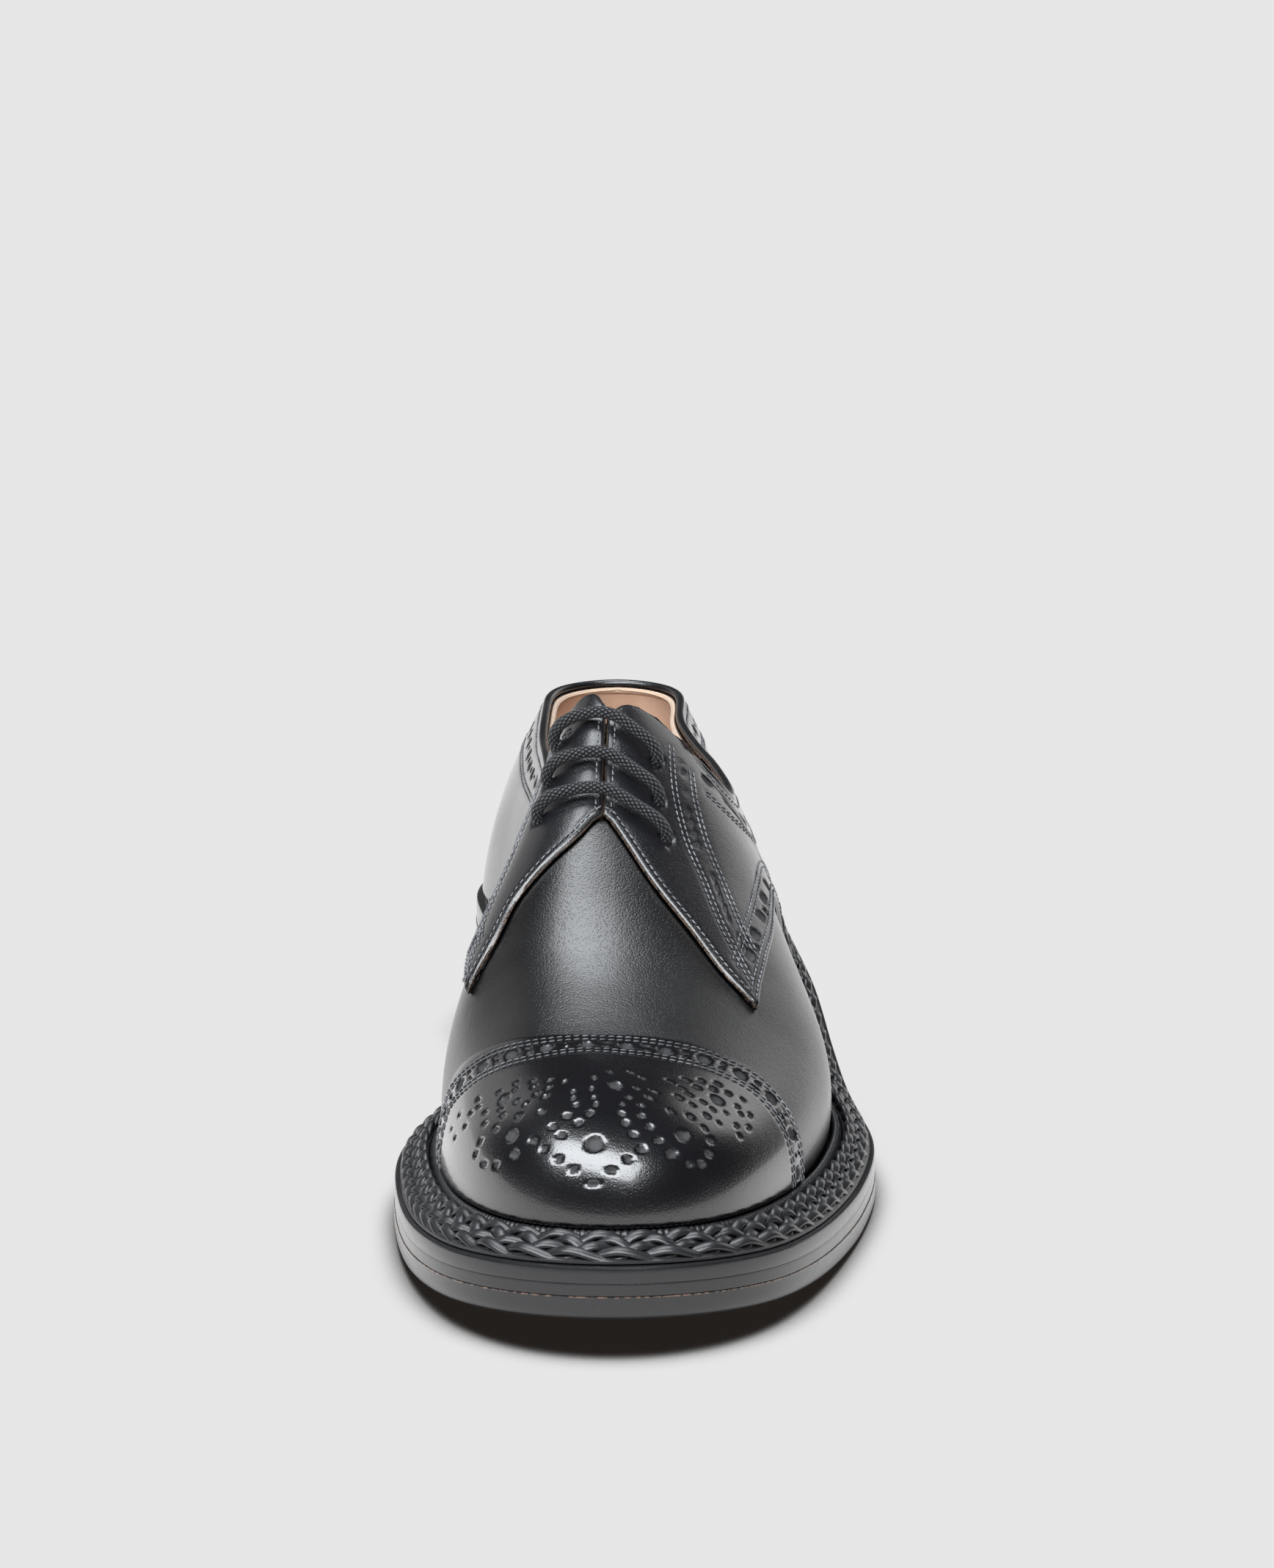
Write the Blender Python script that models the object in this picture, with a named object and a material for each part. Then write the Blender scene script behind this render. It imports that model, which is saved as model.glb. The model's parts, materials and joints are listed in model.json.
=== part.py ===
"""A man's left brogue derby shoe with a braided welt, built as a maker would put it together.

The shoe stands on the floor at z = 0 with its toe towards -Y and its outer side towards +X.
Every form is worked out from one outline of the sole, one profile of its underside and one last.
The pieces are the outsole, midsole, heel lifts and top piece, the braided welt, the insole,
the hollow upper, the toe cap and quarters laid over it, the tongue and the lace.
"""
import math

import bmesh
import bpy
import mathutils
import numpy as np

# Driving sizes of the sole, in metres
SOLE_LENGTH = 0.302
BALL_WIDTH = 0.116
HEEL_WIDTH = 0.079
OUTSOLE_THICK = 0.0050
MIDSOLE_THICK = 0.0066
INSOLE_THICK = 0.0028
TOP_PIECE_THICK = 0.0060
LIFT_THICK = 0.0062
LIFT_COUNT = 3
HEEL_LENGTH = 0.076
HEEL_TAPER = 0.0020
BREAST_HOLLOW = 0.0040
TOE_SPRING = 0.0090

# Driving sizes of the upper, in metres
UPPER_WALL = 0.0018
PANEL_WALL = 0.0014
STRIP_WALL = 0.0010
STRIP_WIDTH = 0.0150
TONGUE_THICK = 0.0016
INSTEP_HEIGHT = 0.1065
EDGE_MARGIN_TOE = 0.0170
EDGE_MARGIN_BALL = 0.0140
EDGE_MARGIN_HEEL = 0.0055
MIDSOLE_STEP = 0.0004
TOE_FAN = 0.040
HEEL_FAN = 0.026
FAN_LEAD = 0.005

# Clearances, in metres
FIT_GAP = 0.0003
PANEL_GAP = 0.0004
INSOLE_CLEARANCE = 0.0012
WELT_CLEARANCE = 0.0005
RAND_PLAY = 0.0002

# Driving sizes of the welt, in metres
RAND_WIDTH = 0.0030
RAND_HEIGHT = 0.0052
BRAID_HEIGHT = 0.0046
WELT_LEDGE = 0.0018

# Driving sizes of the throat and the lace, in metres
THROAT_GAP = 0.0016
LACE_DIAMETER = 0.0030
EYELET_CLEARANCE = 0.0008
LACE_BEND = LACE_DIAMETER / 2 + 0.0011
TONGUE_DROP = LACE_BEND + LACE_DIAMETER / 2 + 0.0010
PUNCH_DEPTH = 0.0070

# Fineness of the faceted solids
ROWS, RIBS = 36, 11
STRIP_ROWS, STRIP_RIBS = 3, 6
TONGUE_ROWS, TONGUE_RIBS = 8, 4
FACING_ROWS = (0.460, 0.525, 9)
ROW_APART = 0.0040
BREAST_CUTS = 7
PUNCH_SIDES = 10
LACE_SIDES, LACE_RINGS = 7, 68
DENSE = 3000
WELD, SLIVER = 1e-5, 0.02

LATERAL, MEDIAL = 1.0, -1.0

# The sole's outline: along as a share of the length from the heel's back,
# across as a share of the heel's width plus a share of the ball's width, outer side positive.
SOLE_OUTLINE = (
    # along, heel share, ball share
    (0.000, 0.000, 0.000),
    (0.030, 0.290, 0.000),
    (0.090, 0.460, 0.000),
    (0.165, 0.505, 0.000),
    (0.260, 0.270, 0.200),
    (0.370, 0.120, 0.370),
    (0.490, 0.000, 0.500),
    (0.610, 0.000, 0.543),
    (0.720, 0.000, 0.512),
    (0.830, 0.000, 0.434),
    (0.930, 0.000, 0.318),
    (0.984, 0.000, 0.168),
    (1.000, 0.000, 0.000),
    (0.984, 0.000, -0.162),
    (0.930, 0.000, -0.304),
    (0.840, 0.000, -0.396),
    (0.745, 0.000, -0.437),
    (0.630, 0.000, -0.438),
    (0.500, -0.100, -0.272),
    (0.370, -0.250, -0.120),
    (0.250, -0.450, 0.000),
    (0.165, -0.490, 0.000),
    (0.090, -0.450, 0.000),
    (0.030, -0.290, 0.000),
)

# The sole's underside from the side: along as a share of the length, height as a share
# of the heel's height plus a share of the toe spring.
UNDERSIDE = (
    # along, heel share, spring share
    (0.000, 1.00, 0.00),
    (0.255, 1.00, 0.00),
    (0.345, 0.74, 0.00),
    (0.440, 0.30, 0.00),
    (0.530, 0.035, 0.00),
    (0.580, 0.00, 0.00),
    (0.730, 0.00, 0.00),
    (0.800, 0.00, 0.12),
    (0.900, 0.00, 0.48),
    (1.000, 0.00, 1.00),
)

# The last's ridge from the toe to the heel: along as a share of the feather line's length,
# height above the floor as a share of the instep's height, the ridge's place across as a share
# of the ball's width, and how steeply the last falls towards its outer side there.
RIDGE = (
    # along, height, across, fall
    (0.110, 0.960, 0.000, 0.00),
    (0.300, 1.030, 0.000, 0.02),
    (0.420, 1.060, -0.010, 0.10),
    (0.500, 0.990, -0.020, 0.18),
    (0.570, 0.850, -0.026, 0.20),
    (0.640, 0.715, -0.030, 0.17),
    (0.710, 0.600, -0.036, 0.12),
    (0.780, 0.522, -0.042, 0.07),
    (0.850, 0.470, -0.046, 0.03),
)

# The last's sections: along as a share of the feather line, how much the wall draws in as it
# rises, how much fuller it is below its middle than above, and how far it swells outwards
# on the outer and the inner side, all as shares of the way from the ridge to the feather line.
SECTIONS = (
    # along, draw in, low fullness, outer swell, inner swell
    (0.000, 0.10, 0.00, 0.12, 0.12),
    (0.120, 0.62, 0.03, 0.07, 0.16),
    (0.300, 0.58, 0.04, 0.10, 0.18),
    (0.450, 0.35, 0.05, 0.09, 0.16),
    (0.600, 0.18, 0.05, 0.10, 0.20),
    (0.750, 0.05, 0.02, 0.10, 0.08),
    (0.880, 0.00, 0.00, 0.11, 0.10),
    (1.000, 0.00, -0.02, 0.12, 0.12),
)

# Panel lines charted on the last: along as a share of the feather line, up as a share of
# the way from the feather line to the ridge.
TOPLINE = {
    LATERAL: (
        (0.000, 0.560),
        (0.060, 0.548),
        (0.160, 0.495),
        (0.270, 0.430),
        (0.360, 0.420),
        (0.430, 0.455),
        (0.470, 0.530),
        (0.486, 0.610),
        (0.494, 0.710),
        (0.503, 0.850),
        (0.520, 0.972),
    ),
    MEDIAL: (
        (0.000, 0.560),
        (0.060, 0.552),
        (0.160, 0.515),
        (0.270, 0.460),
        (0.360, 0.455),
        (0.430, 0.500),
        (0.465, 0.580),
        (0.480, 0.660),
        (0.488, 0.760),
        (0.496, 0.870),
        (0.512, 0.972),
    ),
}
THROAT, THROAT_EASE = 0.605, 0.030
FACING_EDGE = {
    # along, up: the facing's front edge, from the throat to the quarter's corner
    LATERAL: (
        (THROAT, 0.985),
        (0.623, 0.928),
        (0.652, 0.845),
        (0.680, 0.742),
        (0.708, 0.648),
        (0.724, 0.545),
    ),
    MEDIAL: (
        (THROAT, 0.985),
        (0.624, 0.893),
        (0.640, 0.760),
        (0.652, 0.668),
        (0.676, 0.590),
        (0.694, 0.455),
    ),
}
QUARTER_FOOT = {
    # along, up: the quarter's lower edge, from the welt to its corner
    LATERAL: (
        (0.400, 0.000),
        (0.425, 0.120),
        (0.460, 0.250),
        (0.500, 0.345),
        (0.545, 0.400),
        (0.600, 0.460),
        (0.650, 0.510),
        (0.700, 0.540),
        (0.724, 0.545),
    ),
    MEDIAL: (
        (0.400, 0.000),
        (0.425, 0.120),
        (0.460, 0.230),
        (0.500, 0.310),
        (0.545, 0.360),
        (0.600, 0.400),
        (0.650, 0.430),
        (0.680, 0.445),
        (0.694, 0.455),
    ),
}
CAP_SEAM = {
    # up, along: the toe cap's back edge, from the welt to the ridge
    LATERAL: (
        (0.00, 0.830),
        (0.15, 0.828),
        (0.30, 0.822),
        (0.46, 0.819),
        (0.64, 0.831),
        (0.81, 0.857),
        (1.00, 0.897),
    ),
    MEDIAL: (
        (0.00, 0.776),
        (0.15, 0.771),
        (0.30, 0.775),
        (0.51, 0.808),
        (0.69, 0.840),
        (0.84, 0.868),
        (1.00, 0.897),
    ),
}
EYELETS = {
    # along, setback from the ridge in metres: the eyelets from the top down
    LATERAL: ((0.530, 0.0130), (0.566, 0.0140), (0.598, 0.0160)),
    MEDIAL: ((0.506, 0.0130), (0.545, 0.0140), (0.578, 0.0160)),
}
TONGUE_FRONT, TONGUE_BACK, TONGUE_SPREAD = 0.665, 0.512, 0.34
LACE_TURN, TAIL = 0.20, 0.012
STRIP = ((0.0, 0.45), (0.45, 0.40), (0.75, 0.60), (1.0, 1.0))
WELT_BACK = 0.255
RAND_SECTION = (
    # across as a share of the rand's width, height
    (0.0, 0.0),
    (1.0, 0.0),
    (1.0, 0.45 * RAND_HEIGHT),
    (0.70, 0.90 * RAND_HEIGHT),
    (0.25, RAND_HEIGHT),
    (0.0, 0.85 * RAND_HEIGHT),
)
BRAID_SECTION = (
    # across as a share of the braid's width, height
    (0.0, 0.0),
    (1.0, 0.0),
    (0.98, 0.40 * BRAID_HEIGHT),
    (0.70, 0.92 * BRAID_HEIGHT),
    (0.35, BRAID_HEIGHT),
    (0.04, 0.60 * BRAID_HEIGHT),
)


def cubic(knots, values):
    """Returns a natural cubic spline through the values at the knots."""
    x, y = np.asarray(knots, float), np.asarray(values, float)
    h = np.diff(x)
    count = len(x)
    system, rhs = np.eye(count), np.zeros(count)
    for i in range(1, count - 1):
        system[i, i - 1 : i + 2] = h[i - 1], 2 * (h[i - 1] + h[i]), h[i]
        rhs[i] = 6 * ((y[i + 1] - y[i]) / h[i] - (y[i] - y[i - 1]) / h[i - 1])
    bend = np.linalg.solve(system, rhs)

    def value(at):
        at = np.clip(np.asarray(at, float), x[0], x[-1])
        i = np.clip(np.searchsorted(x, at) - 1, 0, count - 2)
        a, b, step = x[i + 1] - at, at - x[i], h[i]
        curved = bend[i] * (a**3 / step - a * step) + bend[i + 1] * (b**3 / step - b * step)
        return curved / 6 + (y[i] * a + y[i + 1] * b) / step

    return value


def steady(knots, values):
    """Returns a curve through the values that never overshoots, so level stretches stay level."""
    x, y = np.asarray(knots, float), np.asarray(values, float)
    h, rise = np.diff(x), np.diff(y) / np.diff(x)
    slope = np.zeros(len(x))
    slope[0], slope[-1] = rise[0], rise[-1]
    for i in range(1, len(x) - 1):
        if rise[i - 1] * rise[i] > 0:
            w1, w2 = 2 * h[i] + h[i - 1], h[i] + 2 * h[i - 1]
            slope[i] = (w1 + w2) / (w1 / rise[i - 1] + w2 / rise[i])

    def value(at):
        at = np.clip(np.asarray(at, float), x[0], x[-1])
        i = np.clip(np.searchsorted(x, at) - 1, 0, len(x) - 2)
        t = (at - x[i]) / h[i]
        low = (1 + 2 * t) * (1 - t) ** 2 * y[i] + t * (1 - t) ** 2 * h[i] * slope[i]
        return low + t * t * (3 - 2 * t) * y[i + 1] + t * t * (t - 1) * h[i] * slope[i + 1]

    return value


def column(table, index):
    """Returns one column of a table as a list."""
    return [row[index] for row in table]


def closed_curve(points, count):
    """Returns count points on a smooth closed curve through the points."""
    points = np.asarray(points, float)
    lap = 3
    turns = np.vstack([points] * (2 * lap + 1))
    steps = np.sqrt(np.linalg.norm(np.diff(turns, axis=0), axis=1))
    knots = np.concatenate([[0.0], np.cumsum(steps)])
    start, stop = knots[lap * len(points)], knots[(lap + 1) * len(points)]
    at = np.linspace(start, stop, count, endpoint=False)
    return np.column_stack([cubic(knots, turns[:, axis])(at) for axis in range(2)])


HEEL_HEIGHT = TOP_PIECE_THICK + LIFT_COUNT * (LIFT_THICK + FIT_GAP) + FIT_GAP


def sole_outline():
    """Returns the sole's outline as points (across, along), centred on its own box across."""
    raw = [
        (heel * HEEL_WIDTH + ball * BALL_WIDTH, along * SOLE_LENGTH)
        for along, heel, ball in SOLE_OUTLINE
    ]
    curve = closed_curve(raw, DENSE)
    middle = (curve[:, 0].min() + curve[:, 0].max()) / 2
    curve[:, 0] -= middle
    curve[:, 1] -= curve[:, 1].min()
    curve[:, 1] *= SOLE_LENGTH / curve[:, 1].max()
    return curve, -middle


OUTLINE, AXIS_X = sole_outline()


def inward(curve):
    """Returns the unit vectors that point inwards along a closed curve."""
    tangent = np.roll(curve, -1, axis=0) - np.roll(curve, 1, axis=0)
    normal = np.column_stack([tangent[:, 1], -tangent[:, 0]])
    normal /= np.linalg.norm(normal, axis=1)[:, None]
    centre = curve.mean(axis=0)
    return -normal if np.sum(normal * (centre - curve)) < 0 else normal


def inset(margin):
    """Returns the sole's outline moved inwards by a margin, one number or one for each point."""
    return OUTLINE + inward(OUTLINE) * np.reshape(margin, (-1, 1))


def edge_margin():
    """Returns how far the feather line lies inside the sole's edge, for each outline point."""
    along = OUTLINE[:, 1] / SOLE_LENGTH
    heel_to_ball = steady([0.0, 0.16, 0.42, 1.0], [0.0, 0.0, 1.0, 1.0])(along)
    ball_to_toe = steady([0.0, 0.70, 1.0], [0.0, 0.0, 1.0])(along)
    margin = EDGE_MARGIN_HEEL + (EDGE_MARGIN_BALL - EDGE_MARGIN_HEEL) * heel_to_ball
    return margin + (EDGE_MARGIN_TOE - EDGE_MARGIN_BALL) * ball_to_toe


def sides(curve):
    """Splits a closed curve at its heel and toe into an outer and an inner side, heel first."""
    heel, toe = int(np.argmin(curve[:, 1])), int(np.argmax(curve[:, 1]))
    rolled = np.roll(curve, -heel, axis=0)
    split = (toe - heel) % len(curve)
    one, other = rolled[: split + 1], np.vstack([rolled[split:], rolled[:1]])[::-1]
    outer, inner = (one, other) if one[:, 0].mean() > other[:, 0].mean() else (other, one)
    return {LATERAL: outer, MEDIAL: inner}


def across_at(side_curve, along):
    """Returns how far across a side's curve lies at each place along."""
    order = np.maximum.accumulate(side_curve[:, 1] + np.arange(len(side_curve)) * 1e-12)
    return np.interp(along, order, side_curve[:, 0])


def row_places(side_curve, count):
    """Returns count places along, evenly spaced round the curve, from the heel to the toe."""
    steps = np.linalg.norm(np.diff(side_curve, axis=0), axis=1)
    length = np.concatenate([[0.0], np.cumsum(steps)])
    return np.interp(np.linspace(0, length[-1], count), length, side_curve[:, 1])


def underside(along):
    """Returns the height of the outsole's underside at a place along the sole."""
    shares = np.asarray(along) / SOLE_LENGTH
    heel = steady(column(UNDERSIDE, 0), column(UNDERSIDE, 1))(shares)
    spring = steady(column(UNDERSIDE, 0), column(UNDERSIDE, 2))(shares)
    return heel * HEEL_HEIGHT + spring * TOE_SPRING


def seat(along):
    """Returns the height on which the upper, welt and insole stand."""
    return underside(along) + OUTSOLE_THICK + MIDSOLE_THICK + 2 * FIT_GAP


FEATHER = sides(inset(edge_margin()))
FEATHER_START = FEATHER[LATERAL][0, 1]
FEATHER_LENGTH = FEATHER[LATERAL][-1, 1] - FEATHER_START


def world(points):
    """Turns points (across, along from the heel, height) into the shoe's frame."""
    points = np.array(points, float)
    points[..., 1] = SOLE_LENGTH / 2 - points[..., 1]
    return points


def last(side, along, up):
    """Returns points on the last.

    side is LATERAL or MEDIAL, along the share of the feather line from the heel, and up the
    share of the way from the feather line over the side to the ridge. Both may be arrays.
    """
    along, up = np.broadcast_arrays(np.asarray(along, float), np.asarray(up, float))
    foot_y = FEATHER_START + along * FEATHER_LENGTH
    foot_x = across_at(FEATHER[side], foot_y)
    foot_z = seat(foot_y)
    from_heel = foot_y - FEATHER_START + FAN_LEAD
    from_toe = FEATHER_START + FEATHER_LENGTH - foot_y + FAN_LEAD
    ridge_y = foot_y + np.hypot(from_heel, HEEL_FAN) - from_heel - np.hypot(from_toe, TOE_FAN) + from_toe
    share = (ridge_y - FEATHER_START) / FEATHER_LENGTH
    ridge_height = cubic(column(RIDGE, 0), column(RIDGE, 1))
    ridge_z = ridge_height(share) * INSTEP_HEIGHT
    ridge_x = AXIS_X + cubic(column(RIDGE, 0), column(RIDGE, 2))(share) * BALL_WIDTH
    step = 1e-3
    climb = (ridge_height(share + step) - ridge_height(share - step)) * INSTEP_HEIGHT
    climb /= 2 * step * FEATHER_LENGTH
    fall = cubic(column(RIDGE, 0), column(RIDGE, 3))(share)
    shape = {
        name: cubic(column(SECTIONS, 0), column(SECTIONS, index))(along)
        for index, name in ((1, "draw"), (2, "low"), (3 if side == LATERAL else 4, "swell"))
    }
    angle = up * math.pi / 2
    level, rise = np.cos(angle), np.sin(angle)
    out = level * (1 - shape["draw"] * rise) + shape["low"] * np.sin(4 * angle)
    out = out + shape["swell"] * np.sin(2 * angle)
    gone_x, gone_y = (foot_x - ridge_x) * out, (foot_y - ridge_y) * out
    height = foot_z + (ridge_z - foot_z) * rise
    height = height + (climb * gone_y - fall * gone_x) * rise**2
    return np.stack([ridge_x + gone_x, ridge_y + gone_y, height], axis=-1)


def sheet(grids):
    """Welds grids of points into one sheet.

    Returns the sheet's points, its faces as tuples of point numbers, and a unit normal out of
    the shoe at each point, level where the point stands on the seat.
    """
    bm = bmesh.new()
    for side, grid in grids:
        verts = [[bm.verts.new(p) for p in row] for row in grid]
        for here, there in zip(verts, verts[1:]):
            for j in range(len(here) - 1):
                face = (here[j], here[j + 1], there[j + 1], there[j])
                bm.faces.new(face if side == LATERAL else face[::-1])
    bmesh.ops.remove_doubles(bm, verts=bm.verts, dist=WELD)
    bm.normal_update()
    bm.verts.index_update()
    points = np.array([v.co for v in bm.verts])
    normals = np.array([v.normal for v in bm.verts])
    faces = [tuple(v.index for v in face.verts) for face in bm.faces]
    bm.free()
    low = np.abs(points[:, 2] - seat(points[:, 1])) < WELD
    normals[low, 2] = 0.0
    normals /= np.linalg.norm(normals, axis=1)[:, None]
    if np.sum(normals * (points - points.mean(axis=0))) < 0:
        normals = -normals
    return points, faces, normals


def solid_between(name, skin, low, high):
    """Makes a closed solid out of a sheet, between two distances outwards from it."""
    points, faces, normals = skin
    bm = bmesh.new()
    layers = [[bm.verts.new(p) for p in world(points + normals * d)] for d in (low, high)]
    used = {}
    for face in faces:
        for k, corner in enumerate(face):
            edge = (face[k - 1], corner)
            if edge[::-1] in used:
                del used[edge[::-1]]
            else:
                used[edge] = True
        for layer in layers:
            bm.faces.new([layer[n] for n in face])
    for one, other in used:
        bm.faces.new((layers[0][one], layers[0][other], layers[1][other], layers[1][one]))
    return new_object(name, bm)


def new_object(name, bm, smooth_angle=40.0):
    """Makes a named object from a bmesh, its faces pointing out and its round parts smooth."""
    bmesh.ops.recalc_face_normals(bm, faces=bm.faces)
    mesh = bpy.data.meshes.new(name)
    bm.to_mesh(mesh)
    bm.free()
    mesh.shade_smooth()
    mesh.set_sharp_from_angle(angle=math.radians(smooth_angle))
    obj = bpy.data.objects.new(name, mesh)
    bpy.context.scene.collection.objects.link(obj)
    return obj


def add_strip(bm, one, other):
    """Joins two rows of vertices with a strip of faces."""
    for i in range(len(one) - 1):
        bm.faces.new((one[i], one[i + 1], other[i + 1], other[i]))


def plate(name, curve, bottom, thickness, breast=None):
    """Makes a layer of the sole: a curve's shape in plan on a profile, cut off at a breast line."""
    side = sides(curve)
    places = row_places(side[LATERAL], ROWS)
    if breast is not None:
        places = np.append(places[places < breast - 0.002], breast)
    bm = bmesh.new()
    layers = []
    for lift in (0.0, thickness):
        edges = []
        for s in (LATERAL, MEDIAL):
            edge = np.column_stack([across_at(side[s], places), places, bottom(places) + lift])
            if breast is not None and s == MEDIAL:
                edge[-1, 0] = across_at(side[s], places[-1])
            edges.append([bm.verts.new(p) for p in world(edge)])
        layers.append(edges)
    for outer, inner in layers:
        add_strip(bm, outer, inner)
    for s in (0, 1):
        add_strip(bm, layers[0][s], layers[1][s])
    if breast is not None:
        bm.faces.new((layers[0][0][-1], layers[0][1][-1], layers[1][1][-1], layers[1][0][-1]))
    bmesh.ops.remove_doubles(bm, verts=bm.verts, dist=WELD)
    return new_object(name, bm)


def hollow_breast(heel, breast):
    """Hollows a heel layer's front face, as a breast is cut."""
    bm = bmesh.new()
    bm.from_mesh(heel.data)
    front = SOLE_LENGTH / 2 - breast
    across = [e for e in bm.edges if all(abs(v.co.y - front) < 1e-6 for v in e.verts)]
    across = [e for e in across if abs(e.verts[0].co.x - e.verts[1].co.x) > HEEL_WIDTH / 2]
    bmesh.ops.subdivide_edges(bm, edges=across, cuts=BREAST_CUTS)
    face_points = [v for v in bm.verts if abs(v.co.y - front) < 1e-6]
    left, right = min(v.co.x for v in face_points), max(v.co.x for v in face_points)
    for v in face_points:
        share = (2 * v.co.x - left - right) / (right - left)
        v.co.y += BREAST_HOLLOW * (1 - share**2)
    bmesh.ops.triangulate(bm, faces=bm.faces)
    bm.to_mesh(heel.data)
    bm.free()


def make_sole():
    """Makes the outsole, the midsole and the insole, one above another."""
    midsole_seat = OUTSOLE_THICK + FIT_GAP
    insole_seat = midsole_seat + MIDSOLE_THICK + FIT_GAP
    inside_feather = inset(edge_margin() + INSOLE_CLEARANCE)
    return [
        plate("outsole", OUTLINE, underside, OUTSOLE_THICK),
        plate("midsole", inset(MIDSOLE_STEP), lambda y: underside(y) + midsole_seat, MIDSOLE_THICK),
        plate("insole", inside_feather, lambda y: underside(y) + insole_seat, INSOLE_THICK),
    ]


def make_heel():
    """Makes the heel: a rubber top piece on the floor and leather lifts up to the outsole."""
    layers = [("heel_top_piece", TOP_PIECE_THICK)]
    layers += [(f"heel_lift_{n + 1}", LIFT_THICK) for n in range(LIFT_COUNT)]
    made, level = [], 0.0
    for number, (name, thick) in enumerate(layers):
        draw = HEEL_TAPER * (1 - number / LIFT_COUNT)
        breast = HEEL_LENGTH - draw
        heel = plate(name, inset(draw), lambda y, z=level: np.full(np.shape(y), z), thick, breast)
        hollow_breast(heel, breast)
        made.append(heel)
        level += thick + FIT_GAP
    return made


def spaced(start, stop, count):
    """Returns shares along between two shares, evenly spaced round the feather line.

    start may be an array: then each of its values gets its own column of shares.
    """
    side = FEATHER[LATERAL]
    length = np.concatenate([[0.0], np.cumsum(np.linalg.norm(np.diff(side, axis=0), axis=1))])
    share = (side[:, 1] - FEATHER_START) / FEATHER_LENGTH
    ends = np.interp(start, share, length), np.interp(stop, share, length)
    return np.interp(np.linspace(*ends, count), length, share)


def heel_arc(distance):
    """Returns the share along that lies a distance round the feather line from the heel."""
    side = FEATHER[LATERAL]
    length = np.concatenate([[0.0], np.cumsum(np.linalg.norm(np.diff(side, axis=0), axis=1))])
    return (np.interp(distance, length, side[:, 1]) - FEATHER_START) / FEATHER_LENGTH


def slit_up(along):
    """Returns how far up a facing's edge lies, so that the throat's gap stays open."""
    probe, ridge = (last(LATERAL, along, np.full(np.shape(along), up)) for up in (0.9, 1.0))
    reach = np.linalg.norm(probe - ridge, axis=-1)
    gap = THROAT_GAP / 2 * np.clip((THROAT - along) / THROAT_EASE, 0, 1)
    return 1 - 0.1 * gap / reach


def top_edge(side, along):
    """Returns how far up the upper reaches at each row: the topline, the slit or the ridge."""
    table = TOPLINE[side]
    line = steady(column(table, 0), column(table, 1))(along)
    slit = np.where(along >= THROAT, 1.0, slit_up(along))
    return np.where(along < table[-1][0], np.minimum(line, slit), slit)


def above_welt(side, along):
    """Returns how far up a panel laid on the upper starts, to stay clear of the rand."""
    foot = last(side, along, np.zeros(np.shape(along)))[..., 2]
    rise = last(side, along, np.full(np.shape(along), 0.2))[..., 2] - foot
    return 0.2 * (RAND_HEIGHT + WELT_CLEARANCE) / rise


def wall_grid(side, along, low, high, count):
    """Returns last points for rows along, each with ribs from a low to a high share up."""
    up = low[:, None] + (high - low)[:, None] * np.linspace(0, 1, count + 1)[None, :]
    return last(side, np.repeat(along[:, None], count + 1, axis=1), up)


def upper_rows():
    """Returns the shares along of the upper's rows, closer together where the topline is steep."""
    along = np.union1d(spaced(0.0, 1.0, ROWS), np.linspace(*FACING_ROWS))
    return along[np.append(np.diff(along) > ROW_APART, True)]


def make_upper():
    """Makes the hollow upper, open at the collar, the throat and underneath."""
    along = upper_rows()
    skin = sheet(
        [
            (side, wall_grid(side, along, np.zeros(len(along)), top_edge(side, along), RIBS))
            for side in (LATERAL, MEDIAL)
        ]
    )
    return solid_between("upper", skin, 0.0, UPPER_WALL)


def panel_seat():
    """Returns how far out from the last a panel laid on the upper starts."""
    return UPPER_WALL + PANEL_GAP


def make_toe_cap():
    """Makes the toe cap, laid over the front of the upper from one side of the welt to the other.

    Its grid is the upper's own, held back to the seam, so that the two stay parallel.
    """
    grids, rows = [], upper_rows()
    ribs = np.linspace(0, 1, RIBS + 1)[1:]
    for side in (LATERAL, MEDIAL):
        table = CAP_SEAM[side]
        seam = steady(column(table, 0), column(table, 1))(ribs)
        along = np.maximum(rows[rows > seam.min() - ROW_APART, None], seam[None, :])
        up = np.repeat(ribs[None, :], len(along), axis=0)
        up[:, 0] = above_welt(side, along[:, 0])
        grids.append((side, last(side, along, up)))
    return solid_between("toe_cap", sheet(grids), panel_seat(), panel_seat() + PANEL_WALL)


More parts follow.
